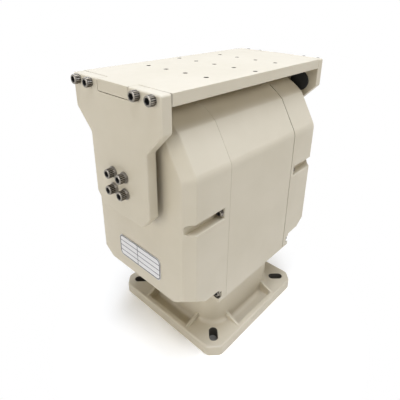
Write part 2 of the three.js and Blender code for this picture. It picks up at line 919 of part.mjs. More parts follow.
// Right hub, with a socket for the end of the tilt shaft
function rightHub() {
  const gripStart = shaftSocketEnd - hubGrip;
  let body = turned(
    [
      [0, shaftSocketEnd],
      [shaftRadius + seat, shaftSocketEnd],
      [shaftRadius + seat, gripStart],
      [hubRadius, gripStart],
      [hubRadius, hubFace],
      [0, hubFace],
    ],
    sidesLarge,
    alongX,
  );
  screwHoles(hubFace - screwHoleDepth, hubFace + overrun).forEach((hole) => {
    body = body.subtract(hole);
  });
  return body;
}

// Right arm: a shouldered plate with a notch for the payload plate's tongue
function armPlate(withGrommet) {
  const top = plateTop;
  const wide = plateDepth / 2;
  const narrow = armWaist / 2;
  const notch = tongueWidth / 2 + seat;
  const side = [
    [narrow - armFootSide, -armReach],
    [narrow, -armReach + armFootRise],
    [narrow, top - armWaistDrop],
    [wide, top - armShoulderDrop],
    [wide, top],
    [notch, top],
    [notch, plateBottom - seat],
  ];
  const otherSide = side.map(([y, z]) => [-y, z]).reverse();
  const outline = [...side, ...otherSide].map(([y, z]) => new THREE.Vector2(y, z));
  let body = prism(outline, armInner, armOuter, alongX);
  const holes = screwHoles(armInner - overrun, armOuter + overrun);
  for (const y of topScrewPlaces()) {
    const hole = rod(screwHole, armInner - overrun, armOuter + overrun, sidesSmall, alongX);
    holes.push(moved(hole, 0, y, top - topScrewDrop));
  }
  if (withGrommet) {
    const hole = rod(grommetHole, armInner - overrun, armOuter + overrun, sidesMedium, alongX);
    holes.push(moved(hole, 0, grommetPlaceY, plateBottom - grommetDrop));
  }
  holes.forEach((hole) => {
    body = body.subtract(hole);
  });
  return body;
}

// Places of the four screws along the top of an arm
function topScrewPlaces() {
  const inner = topScrewInner / 2;
  const outer = inner + topScrewPitch;
  return [-outer, -inner, inner, outer];
}

// Payload plate with its end tongues and staggered grid of tapped holes
function payloadPlate() {
  const half = plateDepth / 2;
  const tongue = tongueWidth / 2;
  let body = block([-hubFace, -half, plateBottom], [hubFace, half, plateTop]);
  body = body.add(block([-armOuter, -tongue, plateBottom], [armOuter, tongue, plateTop]));
  const hole = rod(plateHoleRadius, plateBottom - overrun, plateTop + overrun, sidesSmall, alongZ);
  rowPlacesShare.forEach((places, column) => {
    for (const place of places) {
      const x = (column - 1) * plateHolePitchX;
      body = body.subtract(moved(hole, x, place * plateHolePitchY, 0));
    }
  });
  const edgeHole = rod(screwHole, hubFace - edgeHoleDepth, hubFace + overrun, sidesSmall, alongX);
  for (const y of topScrewPlaces()) {
    const placed = moved(edgeHole, 0, y, plateTop - topScrewDrop);
    body = body.subtract(placed).subtract(mirrored(placed));
  }
  return body;
}

// Cable grommet that closes the hole in the right arm
function cableGrommet() {
  const outside = armOuter + seat;
  return turned(
    [
      [0, hubFace - grommetLip],
      [grommetRadius, hubFace - grommetLip],
      [grommetRadius, hubFace],
      [grommetHole - seat, hubFace],
      [grommetHole - seat, outside],
      [grommetRadius, outside],
      [grommetRadius, outside + grommetLip],
      [0, outside + grommetLip],
    ],
    sidesMedium,
    alongX,
  );
}

// Bracket screw; it seats at zero, on its washers if it has them, and the head points along X
function bracketScrew(washed) {
  const headStart = washed ? seat + washer : seat;
  const headEnd = headStart + headLength;
  const washers = washed ? [[washerRadius, seat], [washerRadius, headStart]] : [];
  return turned(
    [
      [0, headStart - screwLength],
      [screwRadius, headStart - screwLength],
      [screwRadius, seat],
      ...washers,
      [headRadius, headStart],
      [headRadius, headEnd],
      [socketRadius, headEnd],
      [socketRadius, headEnd - socketDepth],
      [0, headEnd - socketDepth],
    ],
    sidesSmall,
    alongX,
  );
}

// Cover screw; the head seats at zero and points along X
function coverScrew() {
  const headEnd = seat + coverScrewHeadLength;
  return turned(
    [
      [0, seat - coverScrewLength],
      [coverScrewRadius, seat - coverScrewLength],
      [coverScrewRadius, seat],
      [coverScrewHead, seat],
      [coverScrewHead, headEnd],
      [coverScrewSocket, headEnd],
      [coverScrewSocket, headEnd - coverScrewSocketDepth],
      [0, headEnd - coverScrewSocketDepth],
    ],
    sidesSmall,
    alongX,
  );
}

// Control board on standoffs, with its larger components
function controlBoard() {
  const face = -centreEnd - seat;
  const back = face - standoffLength;
  const front = back - boardThickness;
  const bottom = tiltAxis - shaftRadius - boardClearance - boardHeight;
  const half = boardWidth / 2;
  let body = block([front, -half, bottom], [back, half, bottom + boardHeight]);
  for (const y of [-half + standoffInset, half - standoffInset]) {
    for (const z of [bottom + standoffInset, bottom + boardHeight - standoffInset]) {
      const post = rod(standoffRadius, back - boardThickness / 2, face, sidesSmall, alongX);
      body = body.add(moved(post, 0, y, z));
    }
  }
  const chipPlacesShare = [
    { y: -0.38, z: 0.2, wide: 0.12, high: 0.5 },
    { y: -0.12, z: 0.2, wide: 0.16, high: 0.34 },
    { y: 0.14, z: 0.15, wide: 0.2, high: 0.2 },
    { y: 0.14, z: 0.55, wide: 0.26, high: 0.25 },
  ];
  for (const chip of chipPlacesShare) {
    const low = [front - chipHeight, chip.y * boardWidth, bottom + chip.z * boardHeight];
    const high = [
      back - boardThickness / 2,
      low[1] + chip.wide * boardWidth,
      low[2] + chip.high * boardHeight,
    ];
    body = body.add(block(low, high));
  }
  return body;
}

// Name plate place with round corners
function namePlate() {
  const half = labelWidth / 2 - labelCorner;
  const rise = labelHeight / 2 - labelCorner;
  const shape = new THREE.Shape();
  shape.absarc(half, rise, labelCorner, 0, Math.PI / 2);
  shape.absarc(-half, rise, labelCorner, Math.PI / 2, Math.PI);
  shape.absarc(-half, -rise, labelCorner, Math.PI, (Math.PI * 3) / 2);
  shape.absarc(half, -rise, labelCorner, (Math.PI * 3) / 2, Math.PI * 2);
  const face = -coverEnd - seat;
  const plate = prism(shape, face - labelThickness, face, alongX);
  return moved(plate, 0, 0, headBottom + labelRise + labelHeight / 2);
}

// The assembly: base, head that pans on it, bracket that tilts in the head
const root = new THREE.Group();
const head = new THREE.Group();
const bracket = new THREE.Group();
bracket.position.z = tiltAxis;
root.add(head);
head.add(bracket);

// Fixed base
piece(root, "base_casting", baseCasting(), "coat");
piece(root, "inlet_connector", inletConnector(), "steel", [0, 0, inletRise]);
piece(root, "pan_spindle", panSpindle(), "steel");
const panInner = innerRing(spindleRadius, panBearingWidth, panRing);
piece(root, "pan_bearing_lower_inner_ring", panInner, "steel", [0, 0, lowerBearing]);
piece(root, "pan_bearing_upper_inner_ring", panInner, "steel", [0, 0, upperBearing]);
const lockNut = ring(
  spindleRadius + seat,
  spindleRadius + nutWidth,
  nutBottom,
  nutTop,
  sidesLarge,
  alongZ,
);
piece(root, "pan_lock_nut", lockNut, "steel");
const panGearHub = spindleTopRadius + gearHubWall;
const panGearBore = spindleTopRadius + seat;
const panGear = spurGear(panGearTeeth, Math.PI / 2, panGearBore, -pinionSideReach, panGearHub);
piece(root, "pan_ring_gear", panGear, "gear", [0, 0, panGearBottom]);
const slipBottom = panGearTop + seat;
const slipRing = turned(
  [
    [0, slipBottom - slipRingLength],
    [spindleBore - seat, slipBottom - slipRingLength],
    [spindleBore - seat, slipBottom],
    [slipFlangeRadius, slipBottom],
    [slipFlangeRadius, slipBottom + slipFlange],
    [0, slipBottom + slipFlange],
  ],
  sidesMedium,
  alongZ,
);
piece(root, "slip_ring_body", slipRing, "plastic");

// Turning head: castings, covers and gaskets
piece(head, "centre_casting", centreCasting(), "coat");
const rightCover = endCover();
piece(head, "right_end_cover", rightCover, "coat");
piece(head, "left_end_cover", mirrored(rightCover), "coat");
const rightGasket = coverGasket();
piece(head, "right_cover_gasket", rightGasket, "rubber");
piece(head, "left_cover_gasket", mirrored(rightGasket), "rubber");
piece(head, "name_plate", namePlate(), "label");
piece(head, "control_board", controlBoard(), "board");

// Turning head: pan bearings, seal, slip ring and drive
const panOuter = outerRing(spindleRadius, panBearingRadius, panBearingWidth, panRing, panBalls);
piece(head, "pan_bearing_lower_outer_ring", panOuter, "steel", [0, 0, lowerBearing]);
piece(head, "pan_bearing_upper_outer_ring", panOuter, "steel", [0, 0, upperBearing]);
const panSeal = ring(
  spindleCollarRadius + running,
  panBearingRadius,
  headBottom + 2 * seat,
  shoulderLevel - seat,
  sidesLarge,
  alongZ,
);
piece(head, "pan_seal", panSeal, "rubber");
const rotorBottom = slipBottom + slipFlange + seat;
const rotorArm = block(
  [-slipArmWidth / 2, 0, rotorBottom + slipArmRise],
  [slipArmWidth / 2, shelfFront - seat, rotorBottom + slipArmRise + slipArmThickness],
);
const rotor = rod(slipRotorRadius, rotorBottom, rotorBottom + slipRotorLength, sidesMedium, alongZ);
piece(head, "slip_ring_rotor", rotor.add(rotorArm), "plastic");
const motorGeometry = geometryOf(gearMotor());
const panMotorPlace = [0, panDriveRadius, shelfTop + seat];
piece(head, "pan_gear_motor", motorGeometry.clone(), "motor", panMotorPlace);
const pinionLow = -pinionSideReach;
const panShaft = drivePinion(
  panPinionTeeth,
  -Math.PI / 2 + Math.PI / panPinionTeeth,
  shelfTop + seat + motorShaftDepth - panGearBottom - pinionLow,
);
piece(head, "pan_drive_pinion", panShaft, "gear", [0, panDriveRadius, panGearBottom + pinionLow]);

// Turning head: tilt bearings, seals and drive
const lyingDown = Math.PI / 2;
for (const [name, side] of [["left", -1], ["right", 1]]) {
  const outer = outerRing(shaftRadius, tiltBearingRadius, tiltBearingWidth, tiltRing, tiltBalls);
  const outerPiece = piece(head, `tilt_bearing_${name}_outer_ring`, outer, "steel");
  outerPiece.position.set(side * tiltBearing, 0, tiltAxis);
  outerPiece.rotation.y = side * lyingDown;
  const sealInner = hubRadius + running;
  const seal = ring(sealInner, sealInner + sealWidth, 0, sealLength, sidesLarge, alongZ);
  const sealPiece = piece(head, `tilt_seal_${name}`, seal, "rubber");
  sealPiece.position.set(side * (coverEnd - sealInset - sealLength), 0, tiltAxis);
  sealPiece.rotation.y = side * lyingDown;
}
const tiltMotor = piece(head, "tilt_gear_motor", motorGeometry.clone(), "motor");
tiltMotor.position.set(centreEnd - bulkhead - seat, tiltDriveY, tiltDriveZ);
tiltMotor.rotation.y = -lyingDown;

// Cover screws, four to a cover
const coverScrewGeometry = geometryOf(coverScrew());
for (const [name, side] of [["left", -1], ["right", 1]]) {
  for (const [face, front] of [["front", -1], ["rear", 1]]) {
    coverScrewPlaces.forEach(({ z, head: seatX }, i) => {
      const level = ["upper", "lower"][i];
      const screw = piece(head, `${name}_cover_screw_${face}_${level}`, coverScrewGeometry, "steel");
      screw.position.set(side * seatX, front * screwDepthY, z);
      screw.rotation.y = side < 0 ? Math.PI : 0;
    });
  }
}

// Tilting bracket: shaft, hub, inner rings and gear
piece(bracket, "tilt_shaft", tiltShaft(), "steel");
piece(bracket, "tilt_hub_right", rightHub(), "steel");
for (const [name, side] of [["left", -1], ["right", 1]]) {
  const inner = innerRing(shaftRadius, tiltBearingWidth, tiltRing);
  const innerPiece = piece(bracket, `tilt_bearing_${name}_inner_ring`, inner, "steel");
  innerPiece.position.x = side * tiltBearing;
  innerPiece.rotation.y = side * lyingDown;
}
const hubReach = -tiltGearOffset + seat;
const tiltGearHub = shaftRadius + gearHubWall;
const tiltGear = spurGear(tiltGearTeeth, tiltDriveAngle, shaftRadius + seat, hubReach, tiltGearHub);
const tiltGearPiece = piece(bracket, "tilt_gear", tiltGear, "gear", [tiltGearStart, 0, 0]);
tiltGearPiece.rotation.set(lyingDown, lyingDown, 0);
const tiltPinion = drivePinion(
  tiltPinionTeeth,
  tiltDriveAngle + Math.PI + Math.PI / tiltPinionTeeth,
  centreEnd - bulkhead - seat - motorShaftDepth - tiltGearStart - pinionLow,
);
const tiltPinionPiece = piece(head, "tilt_drive_pinion", tiltPinion, "gear");
tiltPinionPiece.position.set(tiltGearStart + pinionLow, tiltDriveY, tiltDriveZ);
tiltPinionPiece.rotation.set(lyingDown, lyingDown, 0);

// Tilting bracket: arms, payload plate, grommet and screws
piece(bracket, "left_arm", mirrored(armPlate(false)), "coat");
piece(bracket, "right_arm", armPlate(true), "coat");
piece(bracket, "payload_plate", payloadPlate(), "coat");
const grommetPlace = [0, grommetPlaceY, plateBottom - grommetDrop];
piece(bracket, "cable_grommet", cableGrommet(), "rubber", grommetPlace);
const bracketScrewGeometries = {
  top: geometryOf(bracketScrew(false)),
  shaft: geometryOf(bracketScrew(true)),
};
for (const [name, side] of [["left", -1], ["right", 1]]) {
  const places = topScrewPlaces().map((y) => ["top", y, plateTop - topScrewDrop]);
  for (const z of [shaftScrewSpacing / 2, -shaftScrewSpacing / 2]) {
    for (const y of [-shaftScrewSpacing / 2, shaftScrewSpacing / 2]) {
      places.push(["shaft", y, z]);
    }
  }
  places.forEach(([kind, y, z], i) => {
    const number = (i % 4) + 1;
    const geometry = bracketScrewGeometries[kind];
    const screw = piece(bracket, `${name}_arm_${kind}_screw_${number}`, geometry, "steel");
    screw.position.set(side * armOuter, y, z);
    screw.rotation.y = side < 0 ? Math.PI : 0;
  });
}

export default root;
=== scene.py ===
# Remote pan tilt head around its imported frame. Metres, +Z up, tilt axis along X, front towards -Y.
import json
import math

import bmesh
import bpy
from mathutils import Matrix, Vector


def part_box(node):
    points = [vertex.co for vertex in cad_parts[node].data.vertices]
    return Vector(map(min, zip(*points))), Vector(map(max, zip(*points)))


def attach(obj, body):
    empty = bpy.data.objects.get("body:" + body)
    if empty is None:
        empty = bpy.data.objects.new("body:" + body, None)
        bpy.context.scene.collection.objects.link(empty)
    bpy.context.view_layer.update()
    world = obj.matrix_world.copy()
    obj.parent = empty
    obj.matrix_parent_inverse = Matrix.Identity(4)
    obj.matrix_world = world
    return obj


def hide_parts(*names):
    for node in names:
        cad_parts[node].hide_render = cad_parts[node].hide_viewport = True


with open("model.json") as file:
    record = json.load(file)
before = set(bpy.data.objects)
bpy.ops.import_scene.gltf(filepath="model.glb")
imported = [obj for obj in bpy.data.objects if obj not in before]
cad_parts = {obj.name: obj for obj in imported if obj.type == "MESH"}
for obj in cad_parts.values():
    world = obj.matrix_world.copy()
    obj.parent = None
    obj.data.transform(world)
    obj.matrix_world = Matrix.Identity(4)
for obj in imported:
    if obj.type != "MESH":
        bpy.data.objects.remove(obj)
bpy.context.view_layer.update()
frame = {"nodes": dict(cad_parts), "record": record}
nodes = frame["nodes"]
joints = {joint["name"]: joint for joint in frame["record"]["behaviour"]["joints"]}
MM = 0.001


def box_mm(node):
    """A node's lowest and highest corners in millimetres."""
    low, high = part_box(node)
    return Vector(low) / MM, Vector(high) / MM


def middle_mm(node):
    """The middle of a node's box in millimetres."""
    low, high = box_mm(node)
    return (low + high) / 2


def across_mm(node):
    """The middle of a node's box in Y and Z, in millimetres."""
    low, high = box_mm(node)
    return (low.y + high.y) / 2, (low.z + high.z) / 2


# Places taken from the frame, in millimetres as all sizes below, unless a heading says metres
TILT_AXIS = joints["tilt"]["pos_m"][2] / MM
ARM_INNER, ARM_OUTER = (corner.x for corner in box_mm("right_arm"))
ARM_BOTTOM = box_mm("right_arm")[0].z
PLATE_LOW, PLATE_TOP = (corner.z for corner in box_mm("payload_plate"))
PLATE_HALF = box_mm("payload_plate")[1].y
CENTRE_END = box_mm("centre_casting")[1].x
HEAD_HALF = box_mm("centre_casting")[1].y
HEAD_BOTTOM = box_mm("centre_casting")[0].z
DOME_RADIUS = box_mm("centre_casting")[1].z - TILT_AXIS
COVER_START, COVER_END = (corner.x for corner in box_mm("right_end_cover"))
FOOT_HALF = box_mm("base_casting")[1].x
NECK_TOP = box_mm("base_casting")[1].z

# Clearance of seated faces, and how far a cutting body overruns
SEAT = 0.25
OVERRUN, SMALL_OVERRUN = 3.0, 1.0

# Distances within which a face or edge belongs to a place, or beyond which it is clear of it
NEAR, CLOSE, CLEAR = 0.1, 0.2, 1.0

# Largest share of a cut's axis in the normal of a face that counts as its wall
SLOT_WALL, BORE_WALL = 0.2, 0.5

# Foot and neck
FOOT_TOP, FOOT_CHAMFER, FOOT_CORNER, FOOT_ROUND = 18.0, 15.5, 11.0, 3.0
NECK_HALF, NECK_CORNER, NECK_WALL, NECK_FILLET = 85.0, 36.0, 8.0, 7.5
POCKET_FLOOR, POCKET_OUTER, POCKET_HALF, POCKET_CORNER = 8.0, 107.5, 47.5, 5.0
POCKET_LIP, POCKET_ROUND = 1.4, 2.0
RIB_PLACE, RIB_THICKNESS, RIB_TOP, RIB_END, RIB_ROUND = 50.0, 5.0, 32.5, 114.5, 1.6
RIB_SINK, RIB_END_DROP = 2.0, 0.5
SLOT_PLACE, SLOT_WIDTH, SLOT_LENGTH, SLOT_LIP = 91.25, 14.0, 26.0, 0.8
DECK_BOTTOM, RECESS_FLOOR, RECESS_RADIUS, RECESS_LIP = 77.0, 87.0, 62.25, 0.6
CABLE_RADIUS, INLET_HOLE = 30.0, 9.25

# Head and covers
FACET_END = math.radians(46)
SHOULDER_RADIUS = 26.0
BAND, BAND_ROUND, BAND_TURN = 13.25, 4.0, math.pi / 4
STEP_INSET, STEP_HEIGHT = 16.75, 23.0
STEP_START, STEP_TOP = COVER_START + STEP_INSET, HEAD_BOTTOM + STEP_HEIGHT
CORNER_FACET, EDGE_ROUND = 14.0, 1.7
CORNER_REACH, CORNER_RISE, CORNER_SHARE = 2.5 * BAND, 1.2 * CORNER_FACET, 0.6
GROOVE_HALF, GROOVE_DEPTH, GROOVE_LIP = 8.0, 12.5, 2.4
COUNTERBORE, COUNTERBORE_LIP = 8.25, 0.6
SEAL_BORE, SEAL_REACH, SEAL_LIP, BEARING_BORE = 38.5, 9.0, 1.0, 47.75
SKIN = 1.5

# Seams between casting and covers: width and depth, and what still counts as closed
TIGHT_SEAM, OPEN_SEAM = (0.2, 0.5), (1.4, 1.8)
SEAM_CLOSED = 0.05

# Arms and payload plate
TONGUE, PLATE_GAP, PLATE_ROUND, PLATE_SHARE = 31.0, 0.8, 1.2, 0.4
WAIST_HALF, WAIST_DROP, SHOULDER_DROP = 58.0, 76.0, 45.5
ARM_FOOT_SIDE, ARM_FOOT_RISE = 15.0, 18.0
ARM_CORNER, ARM_WAIST_CORNER, ARM_TOP_CORNER = 5.0, 7.0, 3.0
ARM_ROUND, ARM_INNER_ROUND, NOTCH_ROUND = 2.6, 1.0, 0.4
HOLE_PITCH_X, HOLE_PITCH_Y, HOLE_RADIUS, HOLE_CHAMFER = 80.0, 38.0, 3.5, 0.2
SCREW_HOLE, SCREW_HOLE_DEPTH, SCREW_DROP, SCREW_MARGIN = 4.25, 17.0, 7.0, 0.5

# Places of the plate's holes in its three rows along Y, in pitches
HOLE_ROWS = ((-1.5, -0.5, 0.5, 1.5), (-2, -1, 0, 1, 2), (-1.5, -0.5, 0.5, 1.5))

# Screws: radii of head, shank and socket, length of the head, reach of the shank, socket's depth
BIG_SCREW = {"head": 6.5, "length": 8.0, "shank": 4.0, "reach": 29.75, "socket": 4.2, "depth": 4.8}
COVER_SCREW = {"head": 5.0, "length": 6.0, "shank": 3.0, "reach": 29.75, "socket": 3.1, "depth": 3.4}
TIP_CHAMFER, HEAD_CHAMFER, SOCKET_CHAMFER, SOCKET_MOUTH = 0.6, 0.3, 0.35, 0.02
HEAD_RIBS, HEAD_RIB_DEPTH = 30, 0.45
FIRST_TURN, NEXT_TURN = 17, 41

# The crown's height as a share of the head's radius, and its points inwards and down in crowns
CROWN_SHARE = 0.12
CROWN = ((0, 1.6), (0.2, 1), (0.7, 0.3), (1.3, 0))

# Washers: radius, thickness, and whether it is a split spring washer
WASHERS = ((8.0, 1.5, False), (7.1, 1.5, True))
WASHER_PLAY, WASHER_SOFT_SHARE = 0.1, 0.25
SLIT_START, SLIT_END, SLIT_REACH = (-0.6, 0.6), (-1.3, -0.1), 2.0

# Grommet: its hole, its lip as points inwards and up, and the step beside the arm
GROMMET_HOLE = 14.0
GROMMET_LIP = ((2.0, 0.0), (0.3, 0.8), (0.0, 2.0))
GROMMET_STEP = 0.2

# Inlet: flange, its screws as radius and height over it, tube, collar, neck and ribbed cap
FLANGE, FLANGE_CORNER, FLANGE_SCREW_INSET = 4.0, 4.0, 4.5
FLANGE_SCREW = ((0, -1), (2.4, -1), (2.4, 1), (1.8, 1.5), (0, 1.5))
FLANGE_SOCKET, FLANGE_SOCKET_FLOOR = 1.3, 0.3
TUBE, TUBE_CHAMFER, COLLAR, COLLAR_STEP, INLET_NECK = 9.0, 0.5, 12.2, 1.0, 11.0
CAP, CAP_LENGTH, CAP_CHAMFER, CAP_DISH, CAP_DISH_SLOPE = 13.5, 9.0, 0.8, 8.0, 0.6
CAP_RIB_DEPTH, CAP_RIB_EVERY = 0.7, 3

# Shaft hubs and seals
HUB_REACH, HUB_WALL, SEAL_PLAY, SEAL_ROUND = 20.0, 4.0, 0.5, 0.8

# Label: lines, margin, corners and the divider's place in metres, and its rounded edge in millimetres
LABEL_LINE, LABEL_MARGIN, LABEL_CORNER, LABEL_DIVIDER = 0.0006, 0.0014, 0.0065, 0.004
LABEL_ROWS, LABEL_BORDER_SHARE = 4, 1.4
LABEL_PAPER, LABEL_INK = (0.68, 0.66, 0.65), (0.012, 0.012, 0.013)
LABEL_EDGE = 0.15

# Numbers of sides and steps of the round stretches
FINE, ROUND, SMALL, ARC, HEX = 96, 48, 24, 5, 6
HOLE_SIDES, CAP_SIDES, KNURL_RIBS = 32, 72, 16
NECK_STEPS, SLOT_STEPS, SHOULDER_STEPS, DOME_STEPS, BAND_STEPS, GROOVE_STEPS = 14, 12, 8, 44, 4, 14

# Meshes: distances in metres at which corners meet, angles in degrees of flat and bent edges
MEETING, NO_SIZE = 1e-6, 1e-7
FLAT, BENT, INLET_BENT = 0.4, 32, 25

# Floor and world, in metres: the floor's fade to white, its lift, and the painted shade under the foot
# that shows through the slots
FLOOR_SIZE, FLOOR_NEAR, FLOOR_FAR = 6.0, 0.12, 0.27
FLOOR_CENTRE = (-0.045, -0.04, 0.0)
FLOOR_COLOUR, FLOOR_LIFT = (0.97, 0.94, 0.88, 1), 0.19
FLOOR_PAINTED_SHADE = (0.30, 0.28, 0.24, 1)
WORLD_SEEN, WORLD_LIGHT = (1.0, 1.0, 1.0), (0.09, 0.084, 0.068)

# Lamps, in metres: place, target, width, height, power and colour
WHITE = (1, 1, 1)
LAMPS = {
    "top": ((-0.1, -0.15, 1.9), (0, 0, 0.2), 1.0, 1.6, 47.5, (0.77, 0.84, 1.0)),
    "front": ((0.9, -1.8, 1.45), (0, 0, 0.25), 1.6, 0.5, 17, WHITE),
    "side": ((-1.95, 0.15, 0.75), (0, 0, 0.25), 1.6, 0.9, 16.5, WHITE),
}

# Camera: turns in degrees, place, lens and shifts in pixels, sensor, and reach in metres
CAMERA_ANGLES = (-48.23, 22.48, -1.10)
CAMERA_PLACE = (-424.78, -371.25, 523.56)
FOCAL_PX, SIDE_PX, UP_PX, IMAGE_PX = 368.75, 8.58, -52.64, 400
SENSOR, CAMERA_NEAR, CAMERA_FAR = 36, 0.01, 100

PLACES = {
    "x": lambda u, v, w: (w, u, v),
    "y": lambda u, v, w: (u, w, v),
    "z": lambda u, v, w: (u, v, w),
}


# Mesh helpers, all in millimetres
def new_object(name, verts, faces):
    mesh = bpy.data.meshes.new(name)
    mesh.from_pydata([Vector(v) * MM for v in verts], [], faces)
    obj = bpy.data.objects.new(name, mesh)
    bpy.context.scene.collection.objects.link(obj)
    clean(obj)
    return obj


def clean(obj):
    """Joins corners that meet, drops faces of no size and turns all faces outwards."""
    bm = bmesh.new()
    bm.from_mesh(obj.data)
    bmesh.ops.remove_doubles(bm, verts=bm.verts, dist=MEETING)
    bmesh.ops.dissolve_degenerate(bm, edges=bm.edges, dist=NO_SIZE)
    bmesh.ops.recalc_face_normals(bm, faces=bm.faces)
    bm.to_mesh(obj.data)
    bm.free()


def loft(name, sections, axis):
    """A closed body through outlines with equally many points, each at its level along an axis."""
    place = PLACES[axis]
    n = len(sections[0][1])
    verts = [place(u, v, level) for level, outline in sections for u, v in outline]
    last = (len(sections) - 1) * n
    faces = [list(range(n)), list(range(last, last + n))]
    for start in range(0, last, n):
        for i in range(n):
            ahead = (i + 1) % n
            faces.append([start + i, start + ahead, start + n + ahead, start + n + i])
    return new_object(name, verts, faces)


def prism(name, outline, low, high, axis):
    """An outline drawn out along an axis. Along x it lies in YZ, along y in XZ, along z in XY."""
    return loft(name, [(low, outline), (high, outline)], axis)


def rectangle(low_x, low_y, high_x, high_y):
    return [(low_x, low_y), (high_x, low_y), (high_x, high_y), (low_x, high_y)]


def block(name, low, high):
    return prism(name, rectangle(low[0], low[1], high[0], high[1]), low[2], high[2], "z")


def circle(radius, sides, at=(0.0, 0.0)):
    angles = [2 * math.pi * k / sides for k in range(sides)]
    return [(at[0] + radius * math.cos(a), at[1] + radius * math.sin(a)) for a in angles]


def arc(at, radius, start, end, steps):
    angles = [start + (end - start) * k / steps for k in range(steps + 1)]
    return [(at[0] + radius * math.cos(a), at[1] + radius * math.sin(a)) for a in angles]


def turned(name, profile, sides, axis, radius_at=None, at=(0.0, 0.0)):
    """A closed body turned from points of radius and height. radius_at may vary a radius round it."""
    place = PLACES[axis]
    verts, faces = [], []
    for k in range(sides):
        angle = 2 * math.pi * k / sides
        for j, (r, h) in enumerate(profile):
            if radius_at:
                r = radius_at(j, k, r)
            verts.append(place(at[0] + r * math.cos(angle), at[1] + r * math.sin(angle), h))
    n = len(profile)
    closed = profile[0][0] > 0
    for k in range(sides):
        a, b = k * n, ((k + 1) % sides) * n
        for j in range(n if closed else n - 1):
            i = (j + 1) % n
            faces.append([a + j, b + j, b + i, a + i])
    return new_object(name, verts, faces)


def drawn_in(outline, distance):
    """A convex counterclockwise outline with every edge drawn in by a distance."""
    if not distance:
        return outline
    points = [Vector(p) for p in outline]
    result = []
    for i, corner in enumerate(points):
        into = (corner - points[i - 1]).normalized()
        out = (points[(i + 1) % len(points)] - corner).normalized()
        reach = Vector((-into.y - out.y, into.x + out.x))
        result.append(tuple(corner + reach * (distance / (1 + into.dot(out)))))
    return result


def rounded(points, radii, steps=ARC):
    """An outline with its corners rounded by arcs."""
    out = []
    for i, (x, y) in enumerate(points):
        radius = radii[i] if isinstance(radii, (list, tuple)) else radii
        if radius <= 0:
            out.append((x, y))
            continue
        p = Vector((x, y))
        a = (Vector(points[i - 1]) - p).normalized()
        b = (Vector(points[(i + 1) % len(points)]) - p).normalized()
        half = a.angle(b) / 2
        centre = p + (a + b).normalized() * (radius / math.sin(half))
        start = p + a * (radius / math.tan(half)) - centre
        end = p + b * (radius / math.tan(half)) - centre
        turn = start.angle_signed(end)
        for k in range(steps + 1):
            s, c = math.sin(-turn * k / steps), math.cos(-turn * k / steps)
            out.append((centre.x + c * start.x - s * start.y, centre.y + s * start.x + c * start.y))
    return out


def round_square(half, radius, level=0.0, steps=ARC):
    """A square with rounded corners round a point at a level on the second axis."""
    corners = [(half, level - half), (half, level + half), (-half, level + half), (-half, level - half)]
    return rounded(corners, radius, steps)


def quarter(radius, steps=ARC):
    """A quarter round as pairs: how far in, how far up."""
    angles = [math.pi / 2 * k / steps for k in range(steps + 1)]
    return [(radius * (1 - math.cos(a)), radius * math.sin(a)) for a in angles]


def cutter(name, outline, low, high, lip, axis, floor_round=0.0, way=1):
    """A cutting body from a floor at low to a surface at high, with a rounded lip there."""
    sections = [(low, outline)]
    if floor_round:
        sections = [(low + p, drawn_in(outline, floor_round - q)) for p, q in quarter(floor_round)]
    sections += [(high - lip + q, drawn_in(outline, -p)) for p, q in quarter(lip)]
    sections.append((high + OVERRUN, sections[-1][1]))
    return loft(name, [(way * level, points) for level, points in sections], axis)


def quarters(make):
    """Four bodies of one kind, each a quarter turn further round the pan axis."""
    made = [make() for _ in range(4)]
    for k, body in enumerate(made):
        body.data.transform(Matrix.Rotation(math.pi / 2 * k, 4, "Z"))
    return made


def bake(obj):
    """The object's modifiers become its mesh."""
    graph = bpy.context.evaluated_depsgraph_get()
    mesh = bpy.data.meshes.new_from_object(obj.evaluated_get(graph))
    obj.modifiers.clear()
    obj.data = mesh


def boolean(obj, tools, how="DIFFERENCE"):
    """Cuts or joins tools, which then go."""
    for tool in tools:
        mod = obj.modifiers.new("boolean", "BOOLEAN")
        mod.operation = how
        mod.solver = "EXACT"
        mod.object = tool
        bake(obj)
        bpy.data.objects.remove(tool)
    clean(obj)


def join(obj, other):
    """Adds another object's mesh as it is. The other object then goes."""
    bm = bmesh.new()
    bm.from_mesh(obj.data)
    bm.from_mesh(other.data)
    bm.to_mesh(obj.data)
    bm.free()
    bpy.data.objects.remove(other)


def finish_edges(obj, width=0.0, rule=None, sharp=BENT, segments=3, clamp=True):
    """Rounds the edges that the rule gives a share of the width, and keeps the other corners crisp."""
    bm = bmesh.new()
    bm.from_mesh(obj.data)
    bmesh.ops.dissolve_limit(
        bm, angle_limit=math.radians(FLAT), use_dissolve_boundaries=False, verts=bm.verts, edges=bm.edges
    )
    layer = bm.edges.layers.float.get("bevel_weight_edge")
    layer = layer or bm.edges.layers.float.new("bevel_weight_edge")
    for edge in bm.edges:
        weight = 0.0
        bent = len(edge.link_faces) == 2 and edge.calc_face_angle(0) > math.radians(sharp)
        if bent and width:
            middle = (edge.verts[0].co + edge.verts[1].co) / (2 * MM)
            weight = rule(middle) if rule else 1.0
        edge[layer] = weight
        edge.smooth = not bent or weight > 0
    for face in bm.faces:
        face.smooth = True
    bm.to_mesh(obj.data)
    bm.free()
    if width:
        mod = obj.modifiers.new("rounded_edges", "BEVEL")
        mod.limit_method = "WEIGHT"
        mod.width = width * MM
        mod.segments = segments
        mod.use_clamp_overlap = clamp
    normals = obj.modifiers.new("even_normals", "WEIGHTED_NORMAL")
    normals.keep_sharp = True


def from_node(node, name):
    """A new object with the same solid as a CAD node."""
    obj = bpy.data.objects.new(name, nodes[node].data.copy())
    bpy.context.scene.collection.objects.link(obj)
    clean(obj)
    return obj


